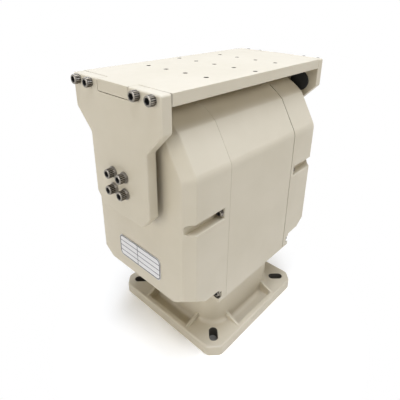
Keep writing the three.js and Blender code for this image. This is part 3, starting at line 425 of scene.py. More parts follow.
def hollowed_like(obj, node, region):
    """Takes from a finished outside what the node's own solid leaves empty within a region."""
    boolean(region, [from_node(node, "solid_of_node")])
    boolean(obj, [region])


def declare(obj, body, node):
    """Hides the node a piece stands for and puts the piece on the body it rides on."""
    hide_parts(node)
    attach(obj, body)


def settle(obj, material, body, node):
    obj.data.materials.clear()
    obj.data.materials.append(material)
    declare(obj, body, node)


def recolour(obj, material, chosen):
    """Gives a further material to the faces that are chosen by middle and normal."""
    obj.data.materials.append(material)
    number = len(obj.data.materials) - 1
    for face in obj.data.polygons:
        if chosen(face.center / MM, face.normal):
            face.material_index = number


# Materials
def shader(name, **sockets):
    material = bpy.data.materials.new(name)
    material.use_nodes = True
    tree = material.node_tree
    main = tree.nodes["Principled BSDF"]
    for key, value in sockets.items():
        main.inputs[key.replace("_", " ")].default_value = value
    return material, tree, main


def add(tree, kind, inputs=None, **settings):
    """A new node, with each input linked to a socket or set to a value."""
    node = tree.nodes.new(kind)
    for key, value in settings.items():
        setattr(node, key, value)
    for key, value in (inputs or {}).items():
        if isinstance(value, bpy.types.NodeSocket):
            tree.links.new(value, node.inputs[key])
        else:
            node.inputs[key].default_value = value
    return node


def calculated(tree, kind, *values):
    return add(tree, "ShaderNodeMath", dict(enumerate(values)), operation=kind).outputs[0]


def object_place(tree):
    """A point's place in its object, whole and as its parts."""
    place = add(tree, "ShaderNodeTexCoord").outputs["Object"]
    return place, add(tree, "ShaderNodeSeparateXYZ", {"Vector": place}).outputs


def noise(tree, scale, detail=4.0, roughness=0.55):
    inputs = {
        "Vector": add(tree, "ShaderNodeTexCoord").outputs["Object"],
        "Scale": scale,
        "Detail": detail,
        "Roughness": roughness,
    }
    return add(tree, "ShaderNodeTexNoise", inputs).outputs["Fac"]


def ranged(tree, value, low, high, from_low=0.0, from_high=1.0):
    inputs = {"Value": value, "From Min": from_low, "From Max": from_high, "To Min": low, "To Max": high}
    return add(tree, "ShaderNodeMapRange", inputs).outputs["Result"]


def mixed(tree, factor, a, b):
    node = add(tree, "ShaderNodeMix", data_type="RGBA")
    tree.links.new(factor, node.inputs["Factor"])
    node.inputs["A"].default_value = (*a, 1)
    node.inputs["B"].default_value = (*b, 1)
    return node.outputs["Result"]


def bumped(tree, main, height, strength, distance):
    bump = add(tree, "ShaderNodeBump", {"Height": height, "Strength": strength, "Distance": distance})
    tree.links.new(bump.outputs["Normal"], main.inputs["Normal"])


def powder_coat(name, colour, shade):
    """Paint with soft clouds of a second tone and a fine orange peel."""
    material, tree, main = shader(name, Specular_IOR_Level=0.6)
    clouds = ranged(tree, noise(tree, scale=11, detail=3), 0, 1, from_low=0.35, from_high=0.65)
    tree.links.new(mixed(tree, clouds, colour, shade), main.inputs["Base Color"])
    tree.links.new(ranged(tree, noise(tree, scale=70, detail=3), 0.36, 0.50), main.inputs["Roughness"])
    bumped(tree, main, noise(tree, scale=850, detail=2, roughness=0.5), strength=0.28, distance=0.0001)
    return material


def metal(name, colour, shade, low, high, scale=400):
    """Metal of two tones, with a roughness between low and high and fine marks."""
    material, tree, main = shader(name, Metallic=1.0)
    tint = mixed(tree, noise(tree, scale / 6, detail=4), colour, shade)
    tree.links.new(tint, main.inputs["Base Color"])
    tree.links.new(ranged(tree, noise(tree, scale, detail=4), low, high), main.inputs["Roughness"])
    bumped(tree, main, noise(tree, scale * 4, detail=3), strength=0.15, distance=0.00005)
    return material


def plain(name, colour, shade, low, high, scale=500):
    """Rubber, plastic, paint or painted shade of two tones, with a roughness between low and high."""
    material, tree, main = shader(name)
    tint = mixed(tree, noise(tree, scale / 20, detail=4), colour, shade)
    tree.links.new(tint, main.inputs["Base Color"])
    tree.links.new(ranged(tree, noise(tree, scale / 3, detail=4), low, high), main.inputs["Roughness"])
    bumped(tree, main, noise(tree, scale, detail=3), strength=0.3, distance=0.0001)
    return material


def knurled(name, dark, bright, low, high):
    """Ribbed steel round the X axis: painted shade in the grooves between bright ribs, some of them
    worn.
    """
    material, tree, main = shader(name, Metallic=1.0)
    _, split = object_place(tree)
    angle = calculated(tree, "ARCTAN2", split["Z"], split["Y"])
    rib = calculated(tree, "SINE", calculated(tree, "MULTIPLY", angle, float(KNURL_RIBS)))
    worn = calculated(tree, "MULTIPLY", noise(tree, scale=900, detail=3), 0.6)
    share = ranged(tree, calculated(tree, "ADD", rib, worn), 0, 1, from_low=-0.5, from_high=1.2)
    tree.links.new(mixed(tree, share, dark, bright), main.inputs["Base Color"])
    tree.links.new(ranged(tree, noise(tree, scale=500, detail=3), low, high), main.inputs["Roughness"])
    return material


COAT = powder_coat("coat", (0.565, 0.502, 0.383), (0.535, 0.474, 0.355))
STEEL = metal("stainless", (0.31, 0.285, 0.25), (0.22, 0.20, 0.17), 0.24, 0.40)
# Knurled heads: painted shade in the grooves, the steel's own tone on the ribs
KNURL = knurled("knurled_stainless_groove_shade", (0.03, 0.027, 0.023), (0.30, 0.275, 0.24), 0.28, 0.42)
# Painted shade for the walls of the foot's slots and of the covers' counterbores
RECESS_SHADE = plain("painted_recess_shade", (0.10, 0.09, 0.07), (0.075, 0.068, 0.052), 0.6, 0.8)
# Bare tapped thread, darkened to paint the shade inside the plate's holes
THREAD_SHADE = metal("tapped_thread_and_painted_shade", (0.04, 0.037, 0.032), (0.025, 0.023, 0.02), 0.45, 0.6)
SOCKET = plain("socket_shadow", (0.012, 0.012, 0.012), (0.02, 0.019, 0.018), 0.5, 0.7)
MACHINED = metal("machined_steel", (0.56, 0.56, 0.55), (0.48, 0.48, 0.47), 0.25, 0.4)
GEAR = metal("gear_steel", (0.36, 0.36, 0.36), (0.29, 0.29, 0.29), 0.3, 0.45)
RUBBER = plain("rubber", (0.014, 0.014, 0.013), (0.022, 0.021, 0.02), 0.7, 0.9)
PLASTIC = plain("black_plastic", (0.02, 0.02, 0.021), (0.03, 0.03, 0.03), 0.45, 0.6)
MOTOR = plain("motor_case", (0.045, 0.047, 0.05), (0.06, 0.062, 0.065), 0.35, 0.5)
BOARD = plain("circuit_board", (0.015, 0.10, 0.045), (0.02, 0.13, 0.06), 0.3, 0.45, scale=900)


# Base casting: foot with side pockets, ribs and slots under a round-cornered neck
def make_base():
    half, cut = FOOT_HALF, FOOT_HALF - FOOT_CHAMFER
    corners = [(half, -cut), (half, cut), (cut, half), (-cut, half)]
    corners += [(-x, -y) for x, y in corners]
    foot = rounded(corners, FOOT_CORNER)
    chamfer = FOOT_ROUND / 4
    sections = [(0, drawn_in(foot, chamfer)), (chamfer, foot)]
    sections += [(FOOT_TOP - FOOT_ROUND + q, drawn_in(foot, p)) for p, q in quarter(FOOT_ROUND)]
    base = loft("base_shell", sections, "z")

    inner = NECK_HALF - NECK_WALL
    pocket = rectangle(inner, -POCKET_HALF, POCKET_OUTER, POCKET_HALF)
    pocket = rounded(pocket, [0, POCKET_CORNER, POCKET_CORNER, 0])
    levels = (POCKET_FLOOR, FOOT_TOP, POCKET_LIP)
    boolean(base, quarters(lambda: cutter("pocket", pocket, *levels, "z", POCKET_ROUND)))

    neck = round_square(NECK_HALF, NECK_CORNER, steps=NECK_STEPS)

    def flared(level):
        flare = [(level + p, drawn_in(neck, q - NECK_FILLET)) for p, q in quarter(NECK_FILLET)]
        return [(level - OVERRUN, flare[0][1])] + flare

    top = [(NECK_TOP - RIB_ROUND + q, drawn_in(neck, p)) for p, q in quarter(RIB_ROUND)]
    column = loft("neck", flared(POCKET_FLOOR) + top, "z")
    skirt = loft("skirt", flared(FOOT_TOP), "z")
    far = 2 * FOOT_HALF
    boolean(skirt, [block("middle", (-RIB_PLACE, -far, 0), (RIB_PLACE, far, far))])
    boolean(skirt, [block("middle", (-far, -RIB_PLACE, 0), (far, RIB_PLACE, far))])
    boolean(base, [column, skirt], "UNION")

    start, floor = inner + RIB_SINK, POCKET_FLOOR - RIB_SINK
    side = [(start, floor), (RIB_END, floor), (RIB_END, FOOT_TOP - RIB_END_DROP), (start, RIB_TOP)]

    def rib(place):
        made = prism("rib", side, place - RIB_THICKNESS / 2, place + RIB_THICKNESS / 2, "y")
        finish_edges(made, RIB_ROUND)
        bake(made)
        return made

    for place in (-RIB_PLACE, RIB_PLACE):
        boolean(base, quarters(lambda: rib(place)), "UNION")

    reach = SLOT_LENGTH / 2 - SLOT_WIDTH / 2
    slot = arc((reach, 0), SLOT_WIDTH / 2, -math.pi / 2, math.pi / 2, SLOT_STEPS)
    slot += arc((-reach, 0), SLOT_WIDTH / 2, math.pi / 2, 3 * math.pi / 2, SLOT_STEPS)

    def diagonal_slot():
        tool = cutter("slot", slot, -OVERRUN, FOOT_TOP, SLOT_LIP, "z")
        tool.data.transform(Matrix.Rotation(math.pi / 4, 4, "Z"))
        tool.data.transform(Matrix.Translation(Vector((SLOT_PLACE, SLOT_PLACE, 0)) * MM))
        return tool

    tools = quarters(diagonal_slot)
    tools.append(prism("chamber", drawn_in(neck, NECK_WALL), -OVERRUN, DECK_BOTTOM, "z"))
    tools.append(cutter("recess", circle(RECESS_RADIUS, FINE), RECESS_FLOOR, NECK_TOP, RECESS_LIP, "z"))
    tools.append(prism("cable_hole", circle(CABLE_RADIUS, ROUND), DECK_BOTTOM - OVERRUN, NECK_TOP, "z"))
    inlet = circle(INLET_HOLE, ROUND, (0, across_mm("inlet_connector")[1]))
    tools.append(prism("inlet_hole", inlet, NECK_HALF - 2 * NECK_WALL, NECK_HALF + OVERRUN, "y"))
    boolean(base, tools)
    finish_edges(base)
    settle(base, COAT, "base", "base_casting")

    def in_slot(at, normal):
        away = math.hypot(abs(at.x) - SLOT_PLACE, abs(at.y) - SLOT_PLACE)
        return away < SLOT_LENGTH / 2 + NEAR and abs(normal.z) < SLOT_WALL and 0 < at.z < FOOT_TOP

    # The slot walls get the painted shade.
    recolour(base, RECESS_SHADE, in_slot)


# Side outline of the head in Y and Z: straight walls, a facet each side and an arched top
def head_outline():
    rise = math.sqrt(DOME_RADIUS**2 - HEAD_HALF**2)
    facet_y = DOME_RADIUS * math.cos(FACET_END)
    facet_z = DOME_RADIUS * math.sin(FACET_END)
    slope = math.atan2(HEAD_HALF - facet_y, facet_z - rise)
    centre = (HEAD_HALF - SHOULDER_RADIUS, TILT_AXIS + rise - SHOULDER_RADIUS * math.tan(slope / 2))
    shoulder = arc(centre, SHOULDER_RADIUS, 0, slope, SHOULDER_STEPS)
    dome = arc((0, TILT_AXIS), DOME_RADIUS, FACET_END, math.pi - FACET_END, DOME_STEPS)
    other = [(-y, z) for y, z in reversed(shoulder)]
    return [(-HEAD_HALF, HEAD_BOTTOM), (HEAD_HALF, HEAD_BOTTOM)] + shoulder + dome + other


def corner_wedge(inset, side, front):
    """What the sloping facet takes off a cover's lower corner."""
    across = (COVER_END - BAND + HEAD_HALF) / math.sqrt(2) - inset
    level = STEP_TOP + inset - inset * math.sqrt(2) + CORNER_FACET
    size = 2 * CORNER_FACET
    outline = [(0, 0), (-size, -size), (size, -size), (size, size)]
    tool = prism("wedge", [(across + u, level + v) for u, v in outline], -HEAD_HALF, HEAD_HALF, "y")
    tool.data.transform(Matrix.Rotation(math.atan2(front, side), 4, "Z"))
    return tool


def step_and_wedges(inset, side):
    """What lies below a cover's raised end, and beside its corner facets."""
    far = COVER_END + HEAD_HALF
    start = STEP_START - inset
    xs = sorted((side * start, side * far))
    step = block("step", (xs[0], -far, HEAD_BOTTOM - far), (xs[1], far, STEP_TOP + inset))
    return [step] + [corner_wedge(inset, side, front) for front in (-1, 1)]


def outside_of(at, outline, depth):
    """True for a point less than a depth, and a little, below the outline's walls."""
    inner = drawn_in(outline, depth + SEAM_CLOSED)
    for i, (y, z) in enumerate(inner):
        ahead_y, ahead_z = inner[(i + 1) % len(inner)]
        if (ahead_y - y) * (at.z - z) - (ahead_z - z) * (at.y - y) < 0:
            return True
    return False


# End covers: shells with a rounded band, screw grooves, counterbores and a seal bore
def make_cover(side, word, seam):
    outline = head_outline()
    reach = BAND_ROUND * math.tan(BAND_TURN / 2)
    width, depth = seam
    profile = [(COVER_START, depth), (COVER_START + width, depth), (COVER_START + width, 0)]
    start = (COVER_END - BAND - reach, BAND_ROUND)
    profile += arc(start, BAND_ROUND, -math.pi / 2, -BAND_TURN, BAND_STEPS)
    end = (COVER_END - BAND_ROUND, BAND + reach)
    profile += arc(end, BAND_ROUND, -BAND_TURN, 0, BAND_STEPS)
    cover = loft(f"{word}_cover_shell", [(side * x, drawn_in(outline, y)) for x, y in profile], "x")
    boolean(cover, step_and_wedges(0, side))

    inner_end = COVER_END - SKIN
    form = [(COVER_START - OVERRUN, SKIN), (inner_end - BAND, SKIN), (inner_end, SKIN + BAND)]
    region = loft("region", [(side * x, drawn_in(outline, y)) for x, y in form], "x")
    boolean(region, step_and_wedges(SKIN, side))
    hollowed_like(cover, f"{word}_end_cover", region)

    seal = circle(SEAL_BORE, FINE, (0, TILT_AXIS))
    tools = [cutter("seal_bore", seal, COVER_END - SEAL_REACH, COVER_END, SEAL_LIP, "x", way=side)]
    for face, front in (("front", -1), ("rear", 1)):
        upper = middle_mm(f"{word}_cover_screw_{face}_upper")
        lower = middle_mm(f"{word}_cover_screw_{face}_lower")
        screw_end = box_mm(f"{word}_cover_screw_{face}_lower")[0 if side < 0 else 1].x
        head = abs(screw_end) - COVER_SCREW["length"] - SEAT
        groove = [(head, upper.z - GROOVE_HALF)]
        centre = (COVER_END - GROOVE_HALF, upper.z)
        groove += arc(centre, GROOVE_HALF, -math.pi / 2, math.pi / 2, GROOVE_STEPS)
        groove.append((head, upper.z + GROOVE_HALF))
        if side < 0:
            groove = [(-x, z) for x, z in reversed(groove)]
        floor = HEAD_HALF - GROOVE_DEPTH
        tools.append(cutter("groove", groove, floor, HEAD_HALF, GROOVE_LIP, "y", way=front))
        bore = circle(COUNTERBORE, ROUND, (lower.y, lower.z))
        tools.append(cutter("counterbore", bore, head, STEP_START, COUNTERBORE_LIP, "x", way=side))
    boolean(cover, tools)

    def rule(middle):
        x, y, z = abs(middle.x), abs(middle.y), middle.z
        if abs(z - STEP_TOP) < CLOSE and x > STEP_START + CLEAR:
            return 1.0
        outer = x > COVER_END - CORNER_REACH and y > HEAD_HALF - CORNER_REACH
        return CORNER_SHARE if outer and z < STEP_TOP + CORNER_RISE else 0.0

    finish_edges(cover, EDGE_ROUND, rule, clamp=False)
    settle(cover, COAT, "head", f"{word}_end_cover")
    axis = middle_mm(f"{word}_cover_screw_front_lower")

    def in_counterbore(at, normal):
        bore = math.hypot(abs(at.y) - abs(axis.y), at.z - axis.z) < COUNTERBORE + NEAR
        return bore and abs(normal.x) < BORE_WALL and abs(at.x) > COVER_START + EDGE_ROUND

    def in_seam(at, normal):
        if abs(at.x) >= COVER_START + width + SEAM_CLOSED or not outside_of(at, outline, depth):
            return False
        return width >= SEAT + SEAM_CLOSED or abs(at.y) >= HEAD_HALF - CLEAR

    # The counterbore walls get the painted shade.
    recolour(cover, RECESS_SHADE, in_counterbore)
    recolour(cover, RUBBER, in_seam)


# Centre casting: the arched box between the covers, which reaches a little into the left seam
def make_centre():
    outline = head_outline()
    centre = prism("centre_shell", outline, -CENTRE_END - SEAM_CLOSED, CENTRE_END, "x")
    within = drawn_in(outline, SKIN)
    region = prism("region", within, -CENTRE_END - OVERRUN, CENTRE_END + OVERRUN, "x")
    hollowed_like(centre, "centre_casting", region)
    bore = circle(BEARING_BORE, FINE)
    boolean(centre, [prism("bore", bore, HEAD_BOTTOM - OVERRUN, HEAD_BOTTOM + 2 * OVERRUN, "z")])
    finish_edges(centre)
    settle(centre, COAT, "head", "centre_casting")


# Payload plate with tongues and tapped holes
def make_plate():
    inner, half = ARM_INNER - PLATE_GAP, PLATE_HALF
    side = [(-ARM_OUTER, -TONGUE), (-inner, -TONGUE), (-inner, -half)]
    side += [(inner, -half), (inner, -TONGUE), (ARM_OUTER, -TONGUE)]
    side += [(-x, -y) for x, y in side]
    plate = prism("plate", side, PLATE_LOW, PLATE_TOP, "z")

    wide = HOLE_RADIUS + HOLE_CHAMFER
    profile = [(0, PLATE_LOW - OVERRUN), (wide, PLATE_LOW - OVERRUN), (wide, PLATE_LOW)]
    profile += [(HOLE_RADIUS, PLATE_LOW + HOLE_CHAMFER), (HOLE_RADIUS, PLATE_TOP - HOLE_CHAMFER)]
    profile += [(wide, PLATE_TOP), (wide, PLATE_TOP + OVERRUN), (0, PLATE_TOP + OVERRUN)]
    holes = []
    for number, row in enumerate(HOLE_ROWS):
        holes += [((number - 1) * HOLE_PITCH_X, place * HOLE_PITCH_Y) for place in row]
    tools = [turned("hole", profile, HOLE_SIDES, "z", at=at) for at in holes]
    for word, way in (("left", -1), ("right", 1)):
        for k in range(4):
            screw = middle_mm(f"{word}_arm_top_screw_{k + 1}")
            ends = sorted((way * (inner - SCREW_HOLE_DEPTH), way * (inner + OVERRUN)))
            tools.append(prism("hole", circle(SCREW_HOLE, SMALL, (screw.y, screw.z)), *ends, "x"))
    boolean(plate, tools)

    def over_body(at):
        return abs(at.x) < inner - CLEAR and abs(at.y) < half - CLEAR

    def rule(middle):
        screw_level = abs(middle.z - PLATE_TOP + SCREW_DROP) < SCREW_HOLE + SCREW_MARGIN
        screws = abs(middle.x) > inner - NEAR and screw_level and abs(middle.y) > TONGUE + CLEAR
        if over_body(middle) or screws:
            return 0.0
        return 1.0 if abs(abs(middle.y) - half) < CLEAR else PLATE_SHARE

    finish_edges(plate, PLATE_ROUND, rule, clamp=False)
    settle(plate, COAT, "bracket", "payload_plate")

    def in_hole(at, normal):
        if abs(normal.z) >= BORE_WALL or not over_body(at):
            return False
        return any(math.hypot(at.x - x, at.y - y) <= HOLE_RADIUS + CLOSE for x, y in holes)

    # The hole walls get the thread colour with its painted shade.
    recolour(plate, THREAD_SHADE, in_hole)


# Arms with rounded outlines and edges, and a notch for the plate's tongue
def make_arm(side, word, grommet):
    top = PLATE_TOP
    half = [(WAIST_HALF - ARM_FOOT_SIDE, ARM_BOTTOM, ARM_CORNER)]
    half.append((WAIST_HALF, ARM_BOTTOM + ARM_FOOT_RISE, ARM_CORNER))
    half.append((WAIST_HALF, top - WAIST_DROP, ARM_WAIST_CORNER))
    half.append((PLATE_HALF, top - SHOULDER_DROP, ARM_CORNER))
    half.append((PLATE_HALF, top, ARM_TOP_CORNER))
    whole = half + [(-y, z, radius) for y, z, radius in reversed(half)]
    outline = rounded([(y, z) for y, z, _ in whole], [radius for _, _, radius in whole])
    sections = [(ARM_INNER + ARM_INNER_ROUND - q, p) for p, q in reversed(quarter(ARM_INNER_ROUND))]
    sections += [(ARM_OUTER - ARM_ROUND + q, p) for p, q in quarter(ARM_ROUND)]
    arm = loft(f"{word}_arm_plate", [(side * x, drawn_in(outline, inset)) for x, inset in sections], "x")
    reach = sorted((side * (ARM_INNER - OVERRUN), side * (ARM_OUTER + OVERRUN)))
    names = [f"{word}_arm_{kind}_screw_{k + 1}" for kind in ("top", "shaft") for k in range(4)]
    places = [middle_mm(name) for name in names]
    tools = [prism("hole", circle(SCREW_HOLE, SMALL, (p.y, p.z)), *reach, "x") for p in places]
    notch, notch_floor = TONGUE + PLATE_GAP, PLATE_LOW - PLATE_GAP
    tools.append(block("notch", (reach[0], -notch, notch_floor), (reach[1], notch, top + OVERRUN)))
    if grommet:
        tools.append(prism("hole", circle(GROMMET_HOLE, ROUND, grommet), *reach, "x"))
    boolean(arm, tools)

    def rule(middle):
        return 1.0 if abs(middle.y) < notch + NEAR and middle.z > notch_floor - NEAR else 0.0

    finish_edges(arm, NOTCH_ROUND, rule)
    settle(arm, COAT, "bracket", f"{word}_arm")


# Screws with ribbed heads and hexagon sockets, and washers behind the large ones
def make_washer(level, shank, radius, thickness, split):
    soft = WASHER_SOFT_SHARE * thickness
    bore, end = shank + WASHER_PLAY, level + thickness
    points = [(bore, level), (radius - soft, level), (radius, level + soft)]
    points += [(radius, end - soft), (radius - soft, end), (bore, end)]
    washer = turned("washer", points, 2 * HEAD_RIBS, "x")
    if split:
        far = radius + SLIT_REACH
        slit = [(0, SLIT_START[0]), (far, SLIT_END[0]), (far, SLIT_END[1]), (0, SLIT_START[1])]
        boolean(washer, [prism("slit", slit, level - SMALL_OVERRUN, end + SMALL_OVERRUN, "x")])
    return washer


def socket_screw(name, washers, head, length, shank, reach, socket, depth):
    """A screw that points down the X axis, with its seat at 0 under the washers."""
    start = sum(thickness for _, thickness, _ in washers)
    end, tip = start + length, start - reach
    edge = CROWN_SHARE * head
    profile = [(0, tip), (shank - TIP_CHAMFER, tip), (shank, tip + TIP_CHAMFER), (shank, start)]
    profile += [(head - HEAD_CHAMFER, start), (head, start + HEAD_CHAMFER)]
    ribbed = (len(profile) - 1, len(profile))
    profile += [(head - inwards * edge, end - down * edge) for inwards, down in CROWN]
    profile.append((0, end))

    def ribs_at(j, k, r):
        return r - (HEAD_RIB_DEPTH if j in ribbed and k % 2 else 0.0)

    body = turned(name, profile, 2 * HEAD_RIBS, "x", ribs_at)
    six, wide = circle(socket, HEX), circle(socket + SOCKET_CHAMFER, HEX)
    mouth = [(end - depth, six), (end - SOCKET_CHAMFER, six), (end, wide), (end + SMALL_OVERRUN, wide)]
    boolean(body, [loft("socket", mouth, "x")])
    level = 0.0
    for radius, thickness, split in washers:
        join(body, make_washer(level, shank, radius, thickness, split))
        level += thickness

    def in_socket(at, normal):
        within = end - depth - NEAR < at.x < end - SOCKET_MOUTH
        return within and math.hypot(at.y, at.z) < socket + CLOSE

    def on_ribs(at, normal):
        return math.hypot(at.y, at.z) > head - CLEAR and start + NEAR < at.x < end - edge

    body.data.materials.clear()
    body.data.materials.append(STEEL)
    recolour(body, SOCKET, in_socket)
    # The ribbed sides get the painted shade in their grooves.
    recolour(body, KNURL, on_ribs)
    for face in body.data.polygons:
        face.use_smooth = False
    return body


def place_screws(model, kinds, body, seat_x):
    """Puts one copy of a screw at each node of its kind, each turned a little differently."""
    for count, (node, side) in enumerate(kinds):
        obj = bpy.data.objects.new(f"{node}_dressed", model.data)
        bpy.context.scene.collection.objects.link(obj)
        at = middle_mm(node)
        place = Vector((side * seat_x, at.y, at.z)) * MM
        spin = Matrix.Rotation(math.radians(FIRST_TURN + NEXT_TURN * count), 4, "X")
        flip = Matrix.Rotation(math.pi if side < 0 else 0, 4, "Z")
        obj.matrix_world = Matrix.Translation(place) @ flip @ spin
        declare(obj, body, node)
    bpy.data.objects.remove(model)


def make_screws():
    sides = (("left", -1), ("right", 1))
    for kind, washers in (("top", ()), ("shaft", WASHERS)):
        big = socket_screw(f"{kind}_screw", washers, **BIG_SCREW)
        names = [(f"{word}_arm_{kind}_screw_{k + 1}", side) for word, side in sides for k in range(4)]
        place_screws(big, names, "bracket", ARM_OUTER + SEAT)
    small = socket_screw("cover_screw", (), **COVER_SCREW)
    names = [
        (f"{word}_cover_screw_{face}_{level}", side)
        for word, side in sides for face in ("front", "rear") for level in ("upper", "lower")
    ]
    seat_x = box_mm(names[-1][0])[1].x - COVER_SCREW["length"]
    place_screws(small, names, "head", seat_x)


# Name plate's place: a white sticker with an empty ruled table
def make_label():
    material, tree, main = shader("ruled_label", Roughness=0.32, Coat_Weight=0.25, Coat_Roughness=0.15)

    def calc(kind, *values):
        return calculated(tree, kind, *values)

    _, split = object_place(tree)
    low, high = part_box("name_plate")
    size = high - low
    centre = (low + high) / 2
    y = calc("SUBTRACT", split["Y"], centre.y)
    z = calc("SUBTRACT", split["Z"], centre.z)
    row = (size.z - 2 * LABEL_MARGIN) / LABEL_ROWS
    shifted = calc("ADD", z, size.z / 2 - LABEL_MARGIN)
    row_line = calc("LESS_THAN", calc("PINGPONG", shifted, row / 2), LABEL_LINE)
    offset = calc("ABSOLUTE", calc("SUBTRACT", y, LABEL_DIVIDER))
    divider = calc("LESS_THAN", offset, LABEL_LINE)
    past_y = calc("SUBTRACT", calc("ABSOLUTE", y), size.y / 2 - LABEL_MARGIN - LABEL_CORNER)
    past_z = calc("SUBTRACT", calc("ABSOLUTE", z), size.z / 2 - LABEL_MARGIN - LABEL_CORNER)
    squares = [calc("POWER", calc("MAXIMUM", past, 0.0), 2.0) for past in (past_y, past_z)]
    outside = calc("SQRT", calc("ADD", *squares))
    inside = calc("MINIMUM", calc("MAXIMUM", past_y, past_z), 0.0)
    field = calc("SUBTRACT", calc("ADD", outside, inside), LABEL_CORNER)
    border = calc("LESS_THAN", calc("ABSOLUTE", field), LABEL_LINE * LABEL_BORDER_SHARE)
    within = calc("LESS_THAN", field, 0.0)
    table = calc("MULTIPLY", calc("MAXIMUM", row_line, divider), within)
    tint = mixed(tree, calc("MAXIMUM", table, border), LABEL_PAPER, LABEL_INK)
    tree.links.new(tint, main.inputs["Base Color"])
    bumped(tree, main, noise(tree, scale=300, detail=2), strength=0.08, distance=0.0001)
    label = from_node("name_plate", "ruled_label_plate")
    finish_edges(label, LABEL_EDGE, segments=2)
    settle(label, material, "head", "name_plate")


# Grommet in the right arm, and the inlet on the back of the neck
def make_grommet():
    low, high = box_mm("cable_grommet")
    at = across_mm("cable_grommet")
    radius = (high.y - low.y) / 2
    inner, outer, neck = ARM_INNER - SEAT, ARM_OUTER + SEAT, GROMMET_HOLE - SEAT
    lip = [(radius - inwards, up) for inwards, up in GROMMET_LIP]
    side = radius - GROMMET_STEP
    profile = [(0, low.x)] + [(r, low.x + h) for r, h in lip] + [(side, inner), (neck, inner)]
    profile += [(neck, outer), (side, outer)] + [(r, high.x - h) for r, h in reversed(lip)]
    profile.append((0, high.x))
    grommet = turned("grommet", profile, ROUND, "x", at=at)
    finish_edges(grommet)
    settle(grommet, RUBBER, "bracket", "cable_grommet")
    return at


def make_inlet():
    low, high = box_mm("inlet_connector")
    level = across_mm("inlet_connector")[1]
    half, face = (high.z - low.z) / 2, NECK_HALF + SEAT
    plate_end = face + FLANGE
    flange = prism("inlet_fitting", round_square(half, FLANGE_CORNER, level), face, plate_end, "y")
    inset = half - FLANGE_SCREW_INSET
    for at in [(x, level + z) for x in (-inset, inset) for z in (-inset, inset)]:
        head = turned("head", [(r, plate_end + h) for r, h in FLANGE_SCREW], SMALL, "y", at=at)
        floor = plate_end + FLANGE_SOCKET_FLOOR
        boolean(head, [prism("socket", circle(FLANGE_SOCKET, HEX, at), floor, plate_end + OVERRUN, "y")])
        boolean(flange, [head], "UNION")

    end, grip = high.y, high.y - CAP_LENGTH
    collar, collar_end = face + COLLAR_STEP, plate_end + COLLAR_STEP
    profile = [(0, low.y), (TUBE - TUBE_CHAMFER, low.y), (TUBE, low.y + TUBE_CHAMFER), (TUBE, collar)]
    profile += [(COLLAR, collar), (COLLAR, collar_end), (INLET_NECK, collar_end + COLLAR_STEP)]
    profile += [(INLET_NECK, grip), (CAP - CAP_CHAMFER, grip)]
    ribbed = (len(profile), len(profile) + 1)
    profile += [(CAP, grip + CAP_CHAMFER), (CAP, end - CAP_CHAMFER), (CAP - CAP_CHAMFER, end)]
    profile += [(CAP_DISH, end), (CAP_DISH - CAP_DISH_SLOPE, end - CAP_CHAMFER), (0, end - CAP_CHAMFER)]

    def ribs_at(j, k, r):
        return r - (CAP_RIB_DEPTH if j in ribbed and k % CAP_RIB_EVERY == 0 else 0)

    boolean(flange, [turned("barrel", profile, CAP_SIDES, "y", ribs_at, (0, level))], "UNION")
    finish_edges(flange, sharp=INLET_BENT)
    settle(flange, MACHINED, "base", "inlet_connector")


# Shaft hubs and seals get round faces where they show beside the arms
def make_hubs():
    axis = (0, TILT_AXIS)
    for word, side, node in (("left", -1, "tilt_shaft"), ("right", 1, "tilt_hub_right")):
        hub = from_node(node, f"{word}_hub")
        face = ARM_INNER - SEAT
        radius = max(abs(v.co.y) for v in hub.data.vertices) / MM
        ends = sorted((side * (face - HUB_REACH), side * face))
        collar = prism("collar", circle(radius, FINE, axis), *ends, "x")
        core = circle(radius - HUB_WALL, FINE, axis)
        boolean(collar, [prism("centre", core, ends[0] - OVERRUN, ends[1] + OVERRUN, "x")])
        boolean(hub, [collar], "UNION")
        finish_edges(hub)
        settle(hub, MACHINED, "bracket", node)

        seal = f"tilt_seal_{word}"
        low, high = box_mm(seal)
        inner, outer, soft = radius + SEAL_PLAY, (high.z - low.z) / 2, SEAL_ROUND
        profile = [(inner, low.x + soft), (inner + soft, low.x)]
        profile += [(outer - soft, low.x), (outer, low.x + soft)]
        profile += [(outer, high.x - soft), (outer - soft, high.x)]
        profile += [(inner + soft, high.x), (inner, high.x - soft)]
        ring = turned(f"{word}_shaft_seal", profile, FINE, "x", at=axis)
        finish_edges(ring)
        settle(ring, RUBBER, "head", seal)


# Finishes of the pieces that keep their CAD shape
INNER_LOOKS = {
    MACHINED: (
        "pan_spindle", "pan_bearing_lower_inner_ring", "pan_bearing_upper_inner_ring",
        "pan_bearing_lower_outer_ring", "pan_bearing_upper_outer_ring", "pan_lock_nut",
        "tilt_bearing_left_inner_ring", "tilt_bearing_right_inner_ring",
        "tilt_bearing_left_outer_ring", "tilt_bearing_right_outer_ring",
    ),
    GEAR: ("pan_ring_gear", "tilt_gear", "pan_drive_pinion", "tilt_drive_pinion"),
    RUBBER: ("left_cover_gasket", "right_cover_gasket", "pan_seal"),
    PLASTIC: ("slip_ring_body", "slip_ring_rotor"),
    MOTOR: ("pan_gear_motor", "tilt_gear_motor"),
    BOARD: ("control_board",),
}


def dress_inner_nodes():
    for material, names in INNER_LOOKS.items():
        for name in names:
            obj = nodes[name]
            if not obj.material_slots:
                obj.data.materials.append(material)
            for slot in obj.material_slots:
                slot.material = material


# Floor, light and camera
def seen_plainly(tree):
    """One for rays from the camera and for what metal and glass reflect or let through."""
    rays = add(tree, "ShaderNodeLightPath").outputs
    seen = calculated(tree, "MAXIMUM", rays["Is Camera Ray"], rays["Is Glossy Ray"])
    return calculated(tree, "MAXIMUM", seen, rays["Is Transmission Ray"])


